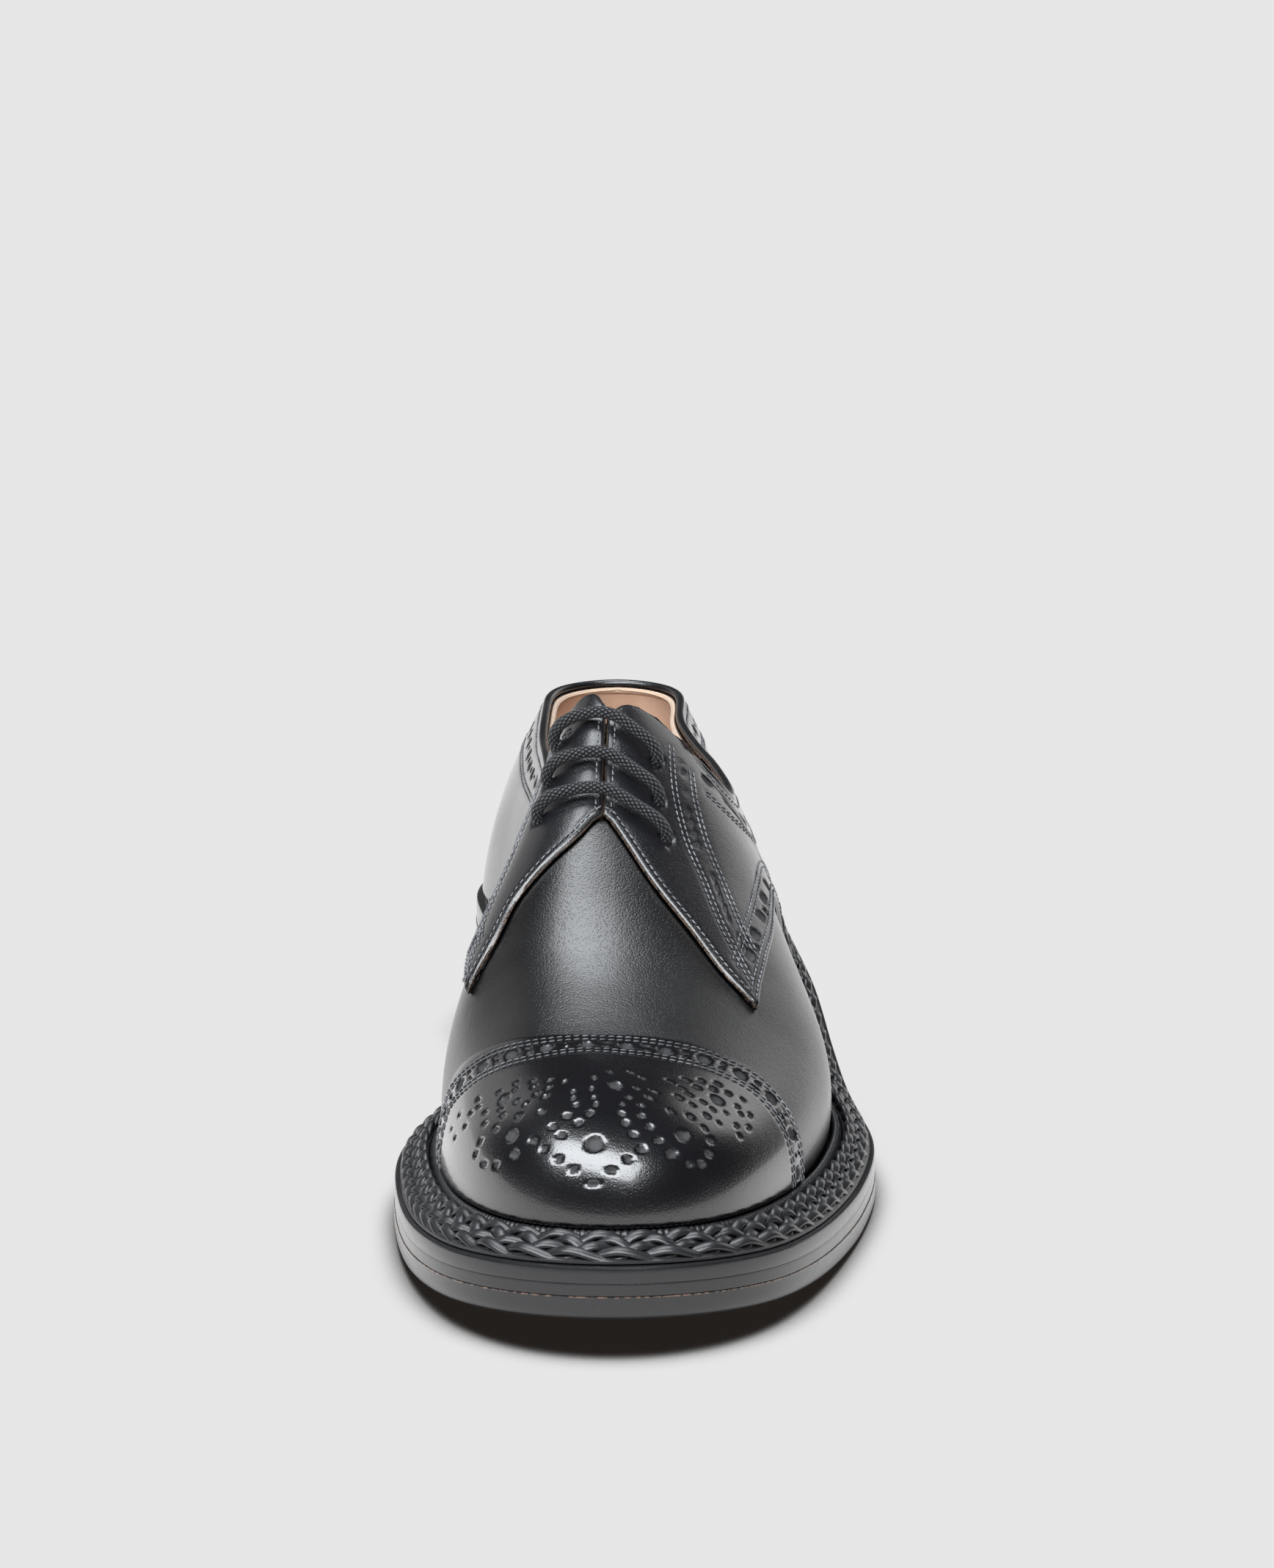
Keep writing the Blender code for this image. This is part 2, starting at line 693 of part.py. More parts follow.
def make_quarter(name, side):
    """Makes one quarter with its facing, laid over the upper from the back seam to its corner.

    Its grid is the upper's own, held between the quarter's edges: a rib that would pass the
    facing's front edge stops where it meets it.
    """
    edge, foot = FACING_EDGE[side], QUARTER_FOOT[side]
    start, corner = heel_arc(FIT_GAP), edge[-1][0]
    rows = upper_rows()
    rows = np.concatenate([[start], rows[(rows > 2 * start) & (rows < corner - ROW_APART)], [corner]])
    top = top_edge(side, rows)
    front = steady(column(edge, 0), column(edge, 1))
    high = np.where(rows < THROAT, np.minimum(top, slit_up(rows)), front(rows))
    line = steady(column(foot, 0), column(foot, 1))(rows)
    low = np.maximum(np.where(rows < foot[0][0], 0.0, line), above_welt(side, rows))
    up = np.linspace(0, 1, RIBS + 1)[None, :] * top[:, None]
    up = np.where(up < np.minimum(low, high)[:, None] + SLIVER, np.minimum(low, high)[:, None], up)
    along = np.repeat(rows[:, None], RIBS + 1, axis=1)
    ahead = (rows[:, None] >= THROAT) & (up > high[:, None])
    fine = np.linspace(corner, THROAT, DENSE)
    along = np.where(ahead, np.interp(up, front(fine), fine), along)
    up = np.where(ahead, np.minimum(up, edge[0][1]), np.minimum(up, high[:, None]))
    grid = last(side, along, up)
    return solid_between(name, sheet([(side, grid)]), panel_seat(), panel_seat() + PANEL_WALL)


def make_back_strip():
    """Makes the strip that covers the back seam, with ears that widen under the collar."""
    share_up = np.linspace(0, 1, STRIP_RIBS + 1)
    half = steady(column(STRIP, 0), column(STRIP, 1))(share_up) * STRIP_WIDTH
    grids = []
    for side in (LATERAL, MEDIAL):
        along = heel_arc(np.linspace(0, 1, STRIP_ROWS + 1)[:, None] * half[None, :])
        low, high = above_welt(side, along), top_edge(side, along)
        grids.append((side, last(side, along, low + (high - low) * share_up[None, :])))
    start = panel_seat() + PANEL_WALL + PANEL_GAP
    return solid_between("back_strip", sheet(grids), start, start + STRIP_WALL)


def make_tongue():
    """Makes the tongue under the facings, its front end drawn up to the vamp it is sewn to."""
    along = np.linspace(TONGUE_BACK, TONGUE_FRONT, TONGUE_ROWS + 1)
    grids = []
    for side in (LATERAL, MEDIAL):
        low = np.full(len(along), 1 - TONGUE_SPREAD)
        grids.append((side, wall_grid(side, along, low, np.ones(len(along)), TONGUE_RIBS)))
    points, faces, normals = sheet(grids)
    reach = last(LATERAL, along, np.ones(len(along)))[:, 1]
    sewn, free = reach[-1], float(np.interp(THROAT, along, reach))
    share = steady([free, sewn], [1.0, 0.0])(points[:, 1])[:, None]
    drop = FIT_GAP + (TONGUE_DROP - FIT_GAP) * share
    skin = points - normals * drop, faces, normals
    return solid_between("tongue", skin, -TONGUE_THICK, 0.0)


def make_ring(name, inner_edge, width, section):
    """Makes a strip round the welt from one side of the heel over the toe to the other.

    inner_edge and width give, for each side and share along, the strip's distance out from the
    feather line and its width; section lists its outline as shares of width and a height.
    """
    along = np.concatenate([spaced(WELT_BACK, 1.0, ROWS)])
    loops = []
    for side, rows in ((LATERAL, along), (MEDIAL, along[::-1][1:])):
        for share in rows:
            place, outward = feather_point(side, share)
            start, span = inner_edge(side, share), width(side, share)
            loop = []
            for out, height in section:
                flat = place + outward * (start + span * out)
                loop.append((*flat, seat(flat[1]) + height))
            loops.append(loop)
    bm = bmesh.new()
    rings = [[bm.verts.new(p) for p in world(loop)] for loop in loops]
    for here, there in zip(rings, rings[1:]):
        for k in range(len(here)):
            bm.faces.new((here[k - 1], here[k], there[k], there[k - 1]))
    bm.faces.new(rings[0])
    bm.faces.new(rings[-1])
    return new_object(name, bm)


def feather_point(side, share):
    """Returns a feather line point in plan and the level direction out of the shoe there."""
    curve = FEATHER[side]
    y = FEATHER_START + share * FEATHER_LENGTH
    index = int(np.clip(np.searchsorted(curve[:, 1], y), 1, len(curve) - 2))
    place = np.array([across_at(curve, y), y])
    if share >= 1.0:
        return place, np.array([0.0, 1.0])
    tangent = curve[index + 1] - curve[index - 1]
    outward = np.array([tangent[1], -tangent[0]]) * side
    return place, outward / np.linalg.norm(outward)


def lean(side, share):
    """Returns how far the wall leans out over its feather line at the height of the welt."""
    foot, over = (last(side, share, up) for up in (0.0, float(above_welt(side, np.array(share)))))
    _, outward = feather_point(side, share)
    return max(0.0, float(np.dot((over - foot)[:2], outward)))


def make_welt():
    """Makes the ribbed rand that hugs the upper and the braided welt outside it."""
    rand_start = lambda side, share: UPPER_WALL + FIT_GAP + lean(side, share) + RAND_PLAY
    braid_start = lambda side, share: rand_start(side, share) + RAND_WIDTH + FIT_GAP
    braid_span = lambda side, share: edge_margin_at(share) - WELT_LEDGE - braid_start(side, share)
    return [
        make_ring("rand", rand_start, lambda side, share: RAND_WIDTH, RAND_SECTION),
        make_ring("braided_welt", braid_start, braid_span, BRAID_SECTION),
    ]


def edge_margin_at(share):
    """Returns how far the sole's edge lies outside the feather line at a share along."""
    y = FEATHER_START + share * FEATHER_LENGTH
    return float(np.interp(y, *zip(*sorted(zip(OUTLINE[:, 1], edge_margin())))))


def eyelet(side, along, setback):
    """Returns the place on the last of an eyelet a setback away from the facing's edge."""
    up = np.linspace(1.0, 0.3, 141)
    arc = last(side, np.full(141, along), up)
    reach = np.concatenate([[0.0], np.cumsum(np.linalg.norm(np.diff(arc, axis=0), axis=1))])
    return float(np.interp(setback, reach, up))


def frame_at(side, along, up):
    """Returns a last point and the unit normal out of the last there."""
    e = 1e-3
    here = last(side, along, up)
    run = last(side, along + e, up) - last(side, along - e, up)
    climb = last(side, along, min(up + e, 1.0)) - last(side, along, up - e)
    normal = np.cross(run, climb) * side
    return here, normal / np.linalg.norm(normal)


def above(side, along, up, height):
    """Returns the point a height out from the last."""
    place, normal = frame_at(side, along, up)
    return place + normal * height


def pierce(solids, spots):
    """Punches the eyelets through the upper and the quarters."""
    bm = bmesh.new()
    for side, along, up in spots:
        place, normal = frame_at(side, along, up)
        foot, head = world(place - normal * PUNCH_DEPTH), world(place + normal * PUNCH_DEPTH)
        axis = mathutils.Vector(head - foot)
        turn = axis.to_track_quat("Z", "Y").to_matrix().to_4x4()
        centre = mathutils.Matrix.Translation((foot + head) / 2)
        bmesh.ops.create_cone(
            bm,
            cap_ends=True,
            segments=PUNCH_SIDES,
            radius1=LACE_DIAMETER / 2 + EYELET_CLEARANCE,
            radius2=LACE_DIAMETER / 2 + EYELET_CLEARANCE,
            depth=axis.length,
            matrix=centre @ turn,
        )
    punch = new_object("eyelet_punch", bm)
    punch.hide_render = True
    punch.display_type = "WIRE"
    for solid in solids:
        cut = solid.modifiers.new("eyelets", "BOOLEAN")
        cut.operation, cut.solver, cut.object = "DIFFERENCE", "EXACT", punch
    return punch


def lace_route(outer, inner):
    """Returns the lace's centre line: three bars over the facings, joined by runs inside."""
    top = panel_seat() + PANEL_WALL
    over, under = top + LACE_BEND, -LACE_BEND
    turn = LACE_TURN
    route = []

    def bar(start, end):
        (s0, a0, u0), (s1, a1, u1) = start, end
        route.extend(above(s0, a0, u0, h) for h in (0.0, top))
        for share in (turn, 0.5):
            a = a0 + (a1 - a0) * share / 2
            route.append(above(s0, a, u0 + (1 - u0) * share, over))
        route.append(above(s0, (a0 + a1) / 2, 1.0, over))
        for share in (0.5, turn):
            a = a1 + (a0 - a1) * share / 2
            route.append(above(s1, a, u1 + (1 - u1) * share, over))
        route.extend(above(s1, a1, u1, h) for h in (top, 0.0))

    def run(start, end):
        (s0, a0, u0), (s1, a1, u1) = start, end
        for share in (turn, 0.5, 1 - turn):
            route.append(above(s0, a0 + (a1 - a0) * share, u0 + (u1 - u0) * share, under))

    def tail(spot, onwards):
        side, along, up = spot
        return above(side, along + onwards, up, under)

    route.append(tail(inner[0], -TAIL))
    bar(inner[0], outer[0])
    run(outer[0], outer[1])
    bar(outer[1], inner[1])
    run(inner[1], inner[2])
    bar(inner[2], outer[2])
    route.append(tail(outer[2], TAIL))
    return np.array(route)


def make_lace(outer, inner):
    """Makes the lace as one cord swept along its route."""
    route = world(lace_route(outer, inner))
    steps = np.linalg.norm(np.diff(route, axis=0), axis=1) ** 0.5
    knots = np.concatenate([[0.0], np.cumsum(steps)])
    at = np.linspace(0, knots[-1], LACE_RINGS)
    path = np.column_stack([cubic(knots, route[:, axis])(at) for axis in range(3)])
    bm = bmesh.new()
    rings, across = [], np.array([1.0, 0.0, 0.0])
    for k, place in enumerate(path):
        ahead = path[min(k + 1, len(path) - 1)] - path[max(k - 1, 0)]
        ahead /= np.linalg.norm(ahead)
        across = across - ahead * np.dot(across, ahead)
        across /= np.linalg.norm(across)
        up = np.cross(ahead, across)
        turns = np.linspace(0, 2 * math.pi, LACE_SIDES, endpoint=False)
        ring = [place + LACE_DIAMETER / 2 * (math.cos(t) * across + math.sin(t) * up) for t in turns]
        rings.append([bm.verts.new(p) for p in ring])
    for here, there in zip(rings, rings[1:]):
        for k in range(LACE_SIDES):
            bm.faces.new((here[k - 1], here[k], there[k], there[k - 1]))
    bm.faces.new(rings[0])
    bm.faces.new(rings[-1])
    return new_object("lace", bm)


FINISHES = {
    # colour, roughness
    "calf": ((0.012, 0.012, 0.015, 1.0), 0.32),
    "edge": ((0.022, 0.021, 0.022, 1.0), 0.38),
    "rubber": ((0.020, 0.020, 0.020, 1.0), 0.70),
    "cord": ((0.018, 0.018, 0.020, 1.0), 0.75),
    "lining": ((0.520, 0.300, 0.180, 1.0), 0.70),
}


def finish(name):
    """Returns a Principled material by the name of its finish."""
    colour, roughness = FINISHES[name]
    material = bpy.data.materials.new(name)
    material.use_nodes = True
    shader = material.node_tree.nodes["Principled BSDF"]
    shader.inputs["Base Color"].default_value = colour
    shader.inputs["Roughness"].default_value = roughness
    shader.inputs["Metallic"].default_value = 0.0
    return material


def main():
    """Builds the shoe."""
    for obj in list(bpy.data.objects):
        bpy.data.objects.remove(obj, do_unlink=True)
    outer = [(LATERAL, a, eyelet(LATERAL, a, back)) for a, back in EYELETS[LATERAL]]
    inner = [(MEDIAL, a, eyelet(MEDIAL, a, back)) for a, back in EYELETS[MEDIAL]]
    upper = make_upper()
    quarters = [make_quarter("quarter_lateral", LATERAL), make_quarter("quarter_medial", MEDIAL)]
    top_piece, *lifts = make_heel()
    outsole, midsole, insole = make_sole()
    rand, welt = make_welt()
    cap, strip, tongue, lace = make_toe_cap(), make_back_strip(), make_tongue(), make_lace(outer, inner)
    punch = pierce([upper, *quarters], outer + inner)
    dressed = {
        "calf": [upper, cap, strip, tongue, *quarters],
        "edge": [outsole, midsole, rand, welt, *lifts],
        "rubber": [top_piece],
        "cord": [lace],
        "lining": [insole],
    }
    shoe = bpy.data.objects.new("shoe", None)
    bpy.context.scene.collection.objects.link(shoe)
    for name, pieces in dressed.items():
        material = finish(name)
        for piece in pieces:
            piece.data.materials.append(material)
            piece.parent = shoe
    punch.parent = shoe


main()
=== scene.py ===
"""The looks of a man's left brogue derby with a braided welt.

Every visible piece is laid on the last on which the part's solids are made, in metres, with the
toe towards -Y, the outer side towards +X and the floor at z = 0. The pieces are sheets of leather
with punched holes and sewn seams, the plaited welt, the built sole and heel, and the lace.
"""

from __future__ import annotations

import json
import logging
import math
from contextlib import contextmanager
from dataclasses import dataclass, field
from enum import Enum
from typing import Callable, Iterator, Optional, Sequence

import bpy
import numpy as np
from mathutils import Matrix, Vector, kdtree
from mathutils.bvhtree import BVHTree

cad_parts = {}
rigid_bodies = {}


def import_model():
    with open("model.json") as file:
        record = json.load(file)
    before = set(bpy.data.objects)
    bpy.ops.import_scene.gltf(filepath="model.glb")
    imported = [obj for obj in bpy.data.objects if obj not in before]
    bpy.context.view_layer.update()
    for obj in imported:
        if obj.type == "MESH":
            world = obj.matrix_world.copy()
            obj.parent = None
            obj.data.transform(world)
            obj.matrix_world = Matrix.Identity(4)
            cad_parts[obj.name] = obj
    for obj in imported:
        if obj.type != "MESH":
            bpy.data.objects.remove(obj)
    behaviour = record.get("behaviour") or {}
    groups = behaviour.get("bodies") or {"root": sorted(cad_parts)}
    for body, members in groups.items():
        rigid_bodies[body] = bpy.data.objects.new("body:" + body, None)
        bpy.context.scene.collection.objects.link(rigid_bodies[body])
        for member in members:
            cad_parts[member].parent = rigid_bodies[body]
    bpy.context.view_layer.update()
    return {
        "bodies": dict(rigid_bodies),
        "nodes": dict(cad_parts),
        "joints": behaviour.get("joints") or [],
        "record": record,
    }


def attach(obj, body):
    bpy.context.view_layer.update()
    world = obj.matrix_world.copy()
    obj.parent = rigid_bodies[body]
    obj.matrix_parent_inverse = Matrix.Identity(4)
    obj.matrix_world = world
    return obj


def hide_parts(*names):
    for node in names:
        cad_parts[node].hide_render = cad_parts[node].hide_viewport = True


Spread = Callable[[np.ndarray, np.ndarray], tuple[np.ndarray, np.ndarray]]
Place = Callable[[np.ndarray, np.ndarray], np.ndarray]
Table = Sequence[Sequence[float]]
Colour = tuple[float, float, float, float]
Point = tuple[float, float, float]
Pair = tuple[float, float]

MM = 0.001
WELD = 1e-5


class Side(Enum):
    """The shoe's two sides, each with the sign of its x."""

    LATERAL = 1.0
    MEDIAL = -1.0


SOLE_OUTLINE = (
    # along, heel share, ball share
    (0.000, 0.000, 0.000),
    (0.030, 0.290, 0.000),
    (0.090, 0.460, 0.000),
    (0.165, 0.505, 0.000),
    (0.260, 0.270, 0.200),
    (0.370, 0.120, 0.370),
    (0.490, 0.000, 0.500),
    (0.610, 0.000, 0.543),
    (0.720, 0.000, 0.512),
    (0.830, 0.000, 0.434),
    (0.930, 0.000, 0.318),
    (0.984, 0.000, 0.168),
    (1.000, 0.000, 0.000),
    (0.984, 0.000, -0.162),
    (0.930, 0.000, -0.304),
    (0.840, 0.000, -0.396),
    (0.745, 0.000, -0.437),
    (0.630, 0.000, -0.438),
    (0.500, -0.100, -0.272),
    (0.370, -0.250, -0.120),
    (0.250, -0.450, 0.000),
    (0.165, -0.490, 0.000),
    (0.090, -0.450, 0.000),
    (0.030, -0.290, 0.000),
)
UNDERSIDE = (
    # along, heel share, spring share
    (0.000, 1.00, 0.00),
    (0.255, 1.00, 0.00),
    (0.345, 0.74, 0.00),
    (0.440, 0.30, 0.00),
    (0.530, 0.035, 0.00),
    (0.580, 0.00, 0.00),
    (0.730, 0.00, 0.00),
    (0.800, 0.00, 0.12),
    (0.900, 0.00, 0.48),
    (1.000, 0.00, 1.00),
)
RIDGE = (
    # along, height, across, fall
    (0.110, 0.960, 0.000, 0.00),
    (0.300, 1.030, 0.000, 0.02),
    (0.420, 1.060, -0.010, 0.10),
    (0.500, 0.990, -0.020, 0.18),
    (0.570, 0.850, -0.026, 0.20),
    (0.640, 0.715, -0.030, 0.17),
    (0.710, 0.600, -0.036, 0.12),
    (0.780, 0.522, -0.042, 0.07),
    (0.850, 0.470, -0.046, 0.03),
    (0.885, 0.459, -0.047, 0.01),
)
SECTIONS = (
    # along, draw in, low fullness, outer swell, inner swell
    (0.000, 0.10, 0.00, 0.12, 0.12),
    (0.120, 0.62, 0.03, 0.07, 0.16),
    (0.300, 0.58, 0.04, 0.10, 0.18),
    (0.450, 0.35, 0.05, 0.09, 0.16),
    (0.600, 0.18, 0.05, 0.10, 0.20),
    (0.750, 0.05, 0.02, 0.10, 0.08),
    (0.880, 0.00, 0.00, 0.11, 0.10),
    (1.000, 0.00, -0.02, 0.12, 0.12),
)
TOPLINE = {
    # along, up
    Side.LATERAL: (
        (0.000, 0.560),
        (0.060, 0.548),
        (0.160, 0.495),
        (0.270, 0.430),
        (0.360, 0.420),
        (0.428, 0.455),
        (0.461, 0.530),
        (0.471, 0.610),
        (0.476, 0.710),
        (0.482, 0.850),
        (0.490, 0.930),
        (0.506, 0.984),
    ),
    Side.MEDIAL: (
        (0.000, 0.560),
        (0.060, 0.552),
        (0.160, 0.515),
        (0.270, 0.460),
        (0.360, 0.455),
        (0.427, 0.500),
        (0.456, 0.580),
        (0.464, 0.660),
        (0.469, 0.760),
        (0.474, 0.870),
        (0.482, 0.945),
        (0.498, 0.984),
    ),
}
FACING_EDGE = {
    # along, up
    Side.LATERAL: (
        (0.605, 0.985),
        (0.623, 0.928),
        (0.652, 0.845),
        (0.680, 0.742),
        (0.708, 0.648),
        (0.724, 0.545),
    ),
    Side.MEDIAL: (
        (0.605, 0.985),
        (0.624, 0.893),
        (0.640, 0.760),
        (0.652, 0.668),
        (0.676, 0.590),
        (0.694, 0.455),
    ),
}
QUARTER_FOOT = {
    # along, up
    Side.LATERAL: (
        (0.400, 0.000),
        (0.425, 0.120),
        (0.460, 0.250),
        (0.500, 0.345),
        (0.545, 0.400),
        (0.600, 0.460),
        (0.650, 0.510),
        (0.700, 0.540),
        (0.724, 0.545),
    ),
    Side.MEDIAL: (
        (0.400, 0.000),
        (0.425, 0.120),
        (0.460, 0.230),
        (0.500, 0.310),
        (0.545, 0.360),
        (0.600, 0.400),
        (0.650, 0.430),
        (0.680, 0.445),
        (0.694, 0.455),
    ),
}
CAP_SEAM = {
    # up, along
    Side.LATERAL: (
        (0.00, 0.830),
        (0.15, 0.828),
        (0.30, 0.822),
        (0.46, 0.819),
        (0.64, 0.831),
        (0.81, 0.857),
        (1.00, 0.897),
    ),
    Side.MEDIAL: (
        (0.00, 0.776),
        (0.15, 0.771),
        (0.30, 0.775),
        (0.51, 0.808),
        (0.69, 0.840),
        (0.84, 0.868),
        (1.00, 0.897),
    ),
}
EYELETS = {
    # along, setback in metres
    Side.LATERAL: ((0.530, 0.0130), (0.566, 0.0140), (0.598, 0.0160)),
    Side.MEDIAL: ((0.506, 0.0130), (0.545, 0.0140), (0.578, 0.0160)),
}
EYESTAY = {
    # along, up: the seam that holds the eyelet stay
    Side.LATERAL: (
        (0.500, 0.752),
        (0.540, 0.755),
        (0.580, 0.738),
        (0.618, 0.695),
        (0.652, 0.662),
        (0.700, 0.580),
    ),
    Side.MEDIAL: (
        (0.488, 0.665),
        (0.523, 0.630),
        (0.562, 0.600),
        (0.603, 0.560),
        (0.645, 0.510),
        (0.682, 0.462),
    ),
}


class Punch(Enum):
    """The punches of the broguing, each with its hole's radius in metres."""

    PIN = 0.00064
    SMALL = 0.00082
    MIDDLE = 0.00115
    LARGE = 0.00160
    ROUND = 0.00195


MEDALLION = (
    # across and up in mm from the middle hole, punch: one half, the other mirrors it
    (0.0, 0.0, Punch.ROUND),
    (0.0, -8.7, Punch.SMALL),
    (4.1, -5.8, Punch.SMALL),
    (7.5, -3.3, Punch.SMALL),
    (10.6, -1.2, Punch.SMALL),
    (13.5, 0.6, Punch.SMALL),
    (7.8, 1.8, Punch.SMALL),
    (5.1, 4.4, Punch.SMALL),
    (10.6, 3.6, Punch.SMALL),
    (8.2, 5.9, Punch.SMALL),
    (3.4, 6.5, Punch.SMALL),
    (2.9, 8.4, Punch.PIN),
    (7.1, 8.2, Punch.PIN),
    (3.9, 9.9, Punch.PIN),
    (8.3, 9.8, Punch.PIN),
    (8.8, 11.2, Punch.PIN),
    (5.0, 11.9, Punch.PIN),
    (0.0, 12.6, Punch.LARGE),
    (5.2, 14.2, Punch.PIN),
    (2.2, 15.4, Punch.PIN),
    (23.1, 9.4, Punch.LARGE),
    (18.6, 1.7, Punch.LARGE),
    (17.1, -2.3, Punch.MIDDLE),
    (20.9, -4.6, Punch.SMALL),
    (23.6, -4.4, Punch.SMALL),
    (25.2, -2.2, Punch.SMALL),
    (24.9, 0.5, Punch.SMALL),
    (22.5, 3.2, Punch.PIN),
    (25.3, 4.3, Punch.PIN),
    (18.5, 5.7, Punch.SMALL),
    (14.1, 6.8, Punch.PIN),
    (22.1, 5.9, Punch.PIN),
    (23.0, 7.3, Punch.PIN),
    (17.9, 8.5, Punch.PIN),
    (20.1, 9.0, Punch.PIN),
    (14.5, 10.0, Punch.PIN),
    (16.4, 10.7, Punch.PIN),
    (14.4, 12.0, Punch.PIN),
    (17.6, 12.2, Punch.PIN),
    (21.3, 11.8, Punch.PIN),
    (11.4, 13.4, Punch.PIN),
    (14.7, 13.7, Punch.PIN),
    (18.2, 13.5, Punch.PIN),
    (21.8, 13.0, Punch.PIN),
    (24.8, 10.9, Punch.PIN),
    (28.7, 9.3, Punch.PIN),
    (27.9, 7.9, Punch.PIN),
    (26.0, 6.6, Punch.PIN),
    (29.2, 6.4, Punch.PIN),
    (31.4, 6.0, Punch.PIN),
    (29.4, 3.6, Punch.PIN),
    (32.2, 3.2, Punch.PIN),
    (30.8, 1.4, Punch.PIN),
)


def column(table: Table, index: int) -> list[float]:
    """Returns one column of a table."""
    return [row[index] for row in table]


def cubic(knots: Sequence[float], values: Sequence[float]) -> Callable[[np.ndarray], np.ndarray]:
    """Makes a natural cubic spline.

    Args:
        knots: Where the values stand, rising.
        values: The values there.

    Returns:
        A function that gives the spline at any places.
    """
    x, y = np.asarray(knots, float), np.asarray(values, float)
    h = np.diff(x)
    count = len(x)
    system, rhs = np.eye(count), np.zeros(count)
    for i in range(1, count - 1):
        system[i, i - 1 : i + 2] = h[i - 1], 2 * (h[i - 1] + h[i]), h[i]
        rhs[i] = 6 * ((y[i + 1] - y[i]) / h[i] - (y[i] - y[i - 1]) / h[i - 1])
    bend = np.linalg.solve(system, rhs)

    def value(at: np.ndarray) -> np.ndarray:
        at = np.clip(np.asarray(at, float), x[0], x[-1])
        i = np.clip(np.searchsorted(x, at) - 1, 0, count - 2)
        a, b, step = x[i + 1] - at, at - x[i], h[i]
        curved = bend[i] * (a**3 / step - a * step) + bend[i + 1] * (b**3 / step - b * step)
        return curved / 6 + (y[i] * a + y[i + 1] * b) / step

    return value


def steady(knots: Sequence[float], values: Sequence[float]) -> Callable[[np.ndarray], np.ndarray]:
    """Makes a curve through values that never overshoots, so level stretches stay level.

    Args:
        knots: Where the values stand, rising.
        values: The values there.

    Returns:
        A function that gives the curve at any places.
    """
    x, y = np.asarray(knots, float), np.asarray(values, float)
    h, rise = np.diff(x), np.diff(y) / np.diff(x)
    slope = np.zeros(len(x))
    slope[0], slope[-1] = rise[0], rise[-1]
    for i in range(1, len(x) - 1):
        if rise[i - 1] * rise[i] > 0:
            w1, w2 = 2 * h[i] + h[i - 1], h[i] + 2 * h[i - 1]
            slope[i] = (w1 + w2) / (w1 / rise[i - 1] + w2 / rise[i])

    def value(at: np.ndarray) -> np.ndarray:
        at = np.clip(np.asarray(at, float), x[0], x[-1])
        i = np.clip(np.searchsorted(x, at) - 1, 0, len(x) - 2)
        t = (at - x[i]) / h[i]
        low = (1 + 2 * t) * (1 - t) ** 2 * y[i] + t * (1 - t) ** 2 * h[i] * slope[i]
        return low + t * t * (3 - 2 * t) * y[i + 1] + t * t * (t - 1) * h[i] * slope[i + 1]

    return value


def smooth(value: np.ndarray, low: float, high: float) -> np.ndarray:
    """Returns 0 below low, 1 above high and a soft rise between them."""
    share = np.clip((value - low) / (high - low), 0, 1)
    return share * share * (3 - 2 * share)


def unit(vectors: np.ndarray) -> np.ndarray:
    """Returns vectors of length one."""
    return vectors / np.maximum(np.linalg.norm(vectors, axis=-1, keepdims=True), 1e-12)


def arc(points: np.ndarray) -> np.ndarray:
    """Returns the distance run along a line of points, at each of them."""
    return np.concatenate([[0.0], np.cumsum(np.linalg.norm(np.diff(points, axis=0), axis=1))])


def read(at: np.ndarray, run: np.ndarray, values: np.ndarray) -> np.ndarray:
    """Reads rows of values, given at distances run along a line, at other distances."""
    return np.column_stack([np.interp(at, run, part) for part in values.T])


def evened(values: np.ndarray, kernel: np.ndarray) -> np.ndarray:
    """Evens out rows of values along a line by a kernel of odd length."""
    reach = len(kernel) // 2
    padded = np.pad(values, ((reach, reach), (0, 0)), mode="edge")
    parts = [np.convolve(part, kernel, "valid") for part in padded.T]
    return np.column_stack(parts)


def through(table: Table, index: int = 1) -> Callable:
    """Returns the steady curve through a table's first column and another one."""
    return steady(column(table, 0), column(table, index))


def bell(reach: int) -> np.ndarray:
    """Returns a soft kernel that reaches some places to each side."""
    kernel = np.hanning(2 * reach + 1)
    return kernel / kernel.sum()


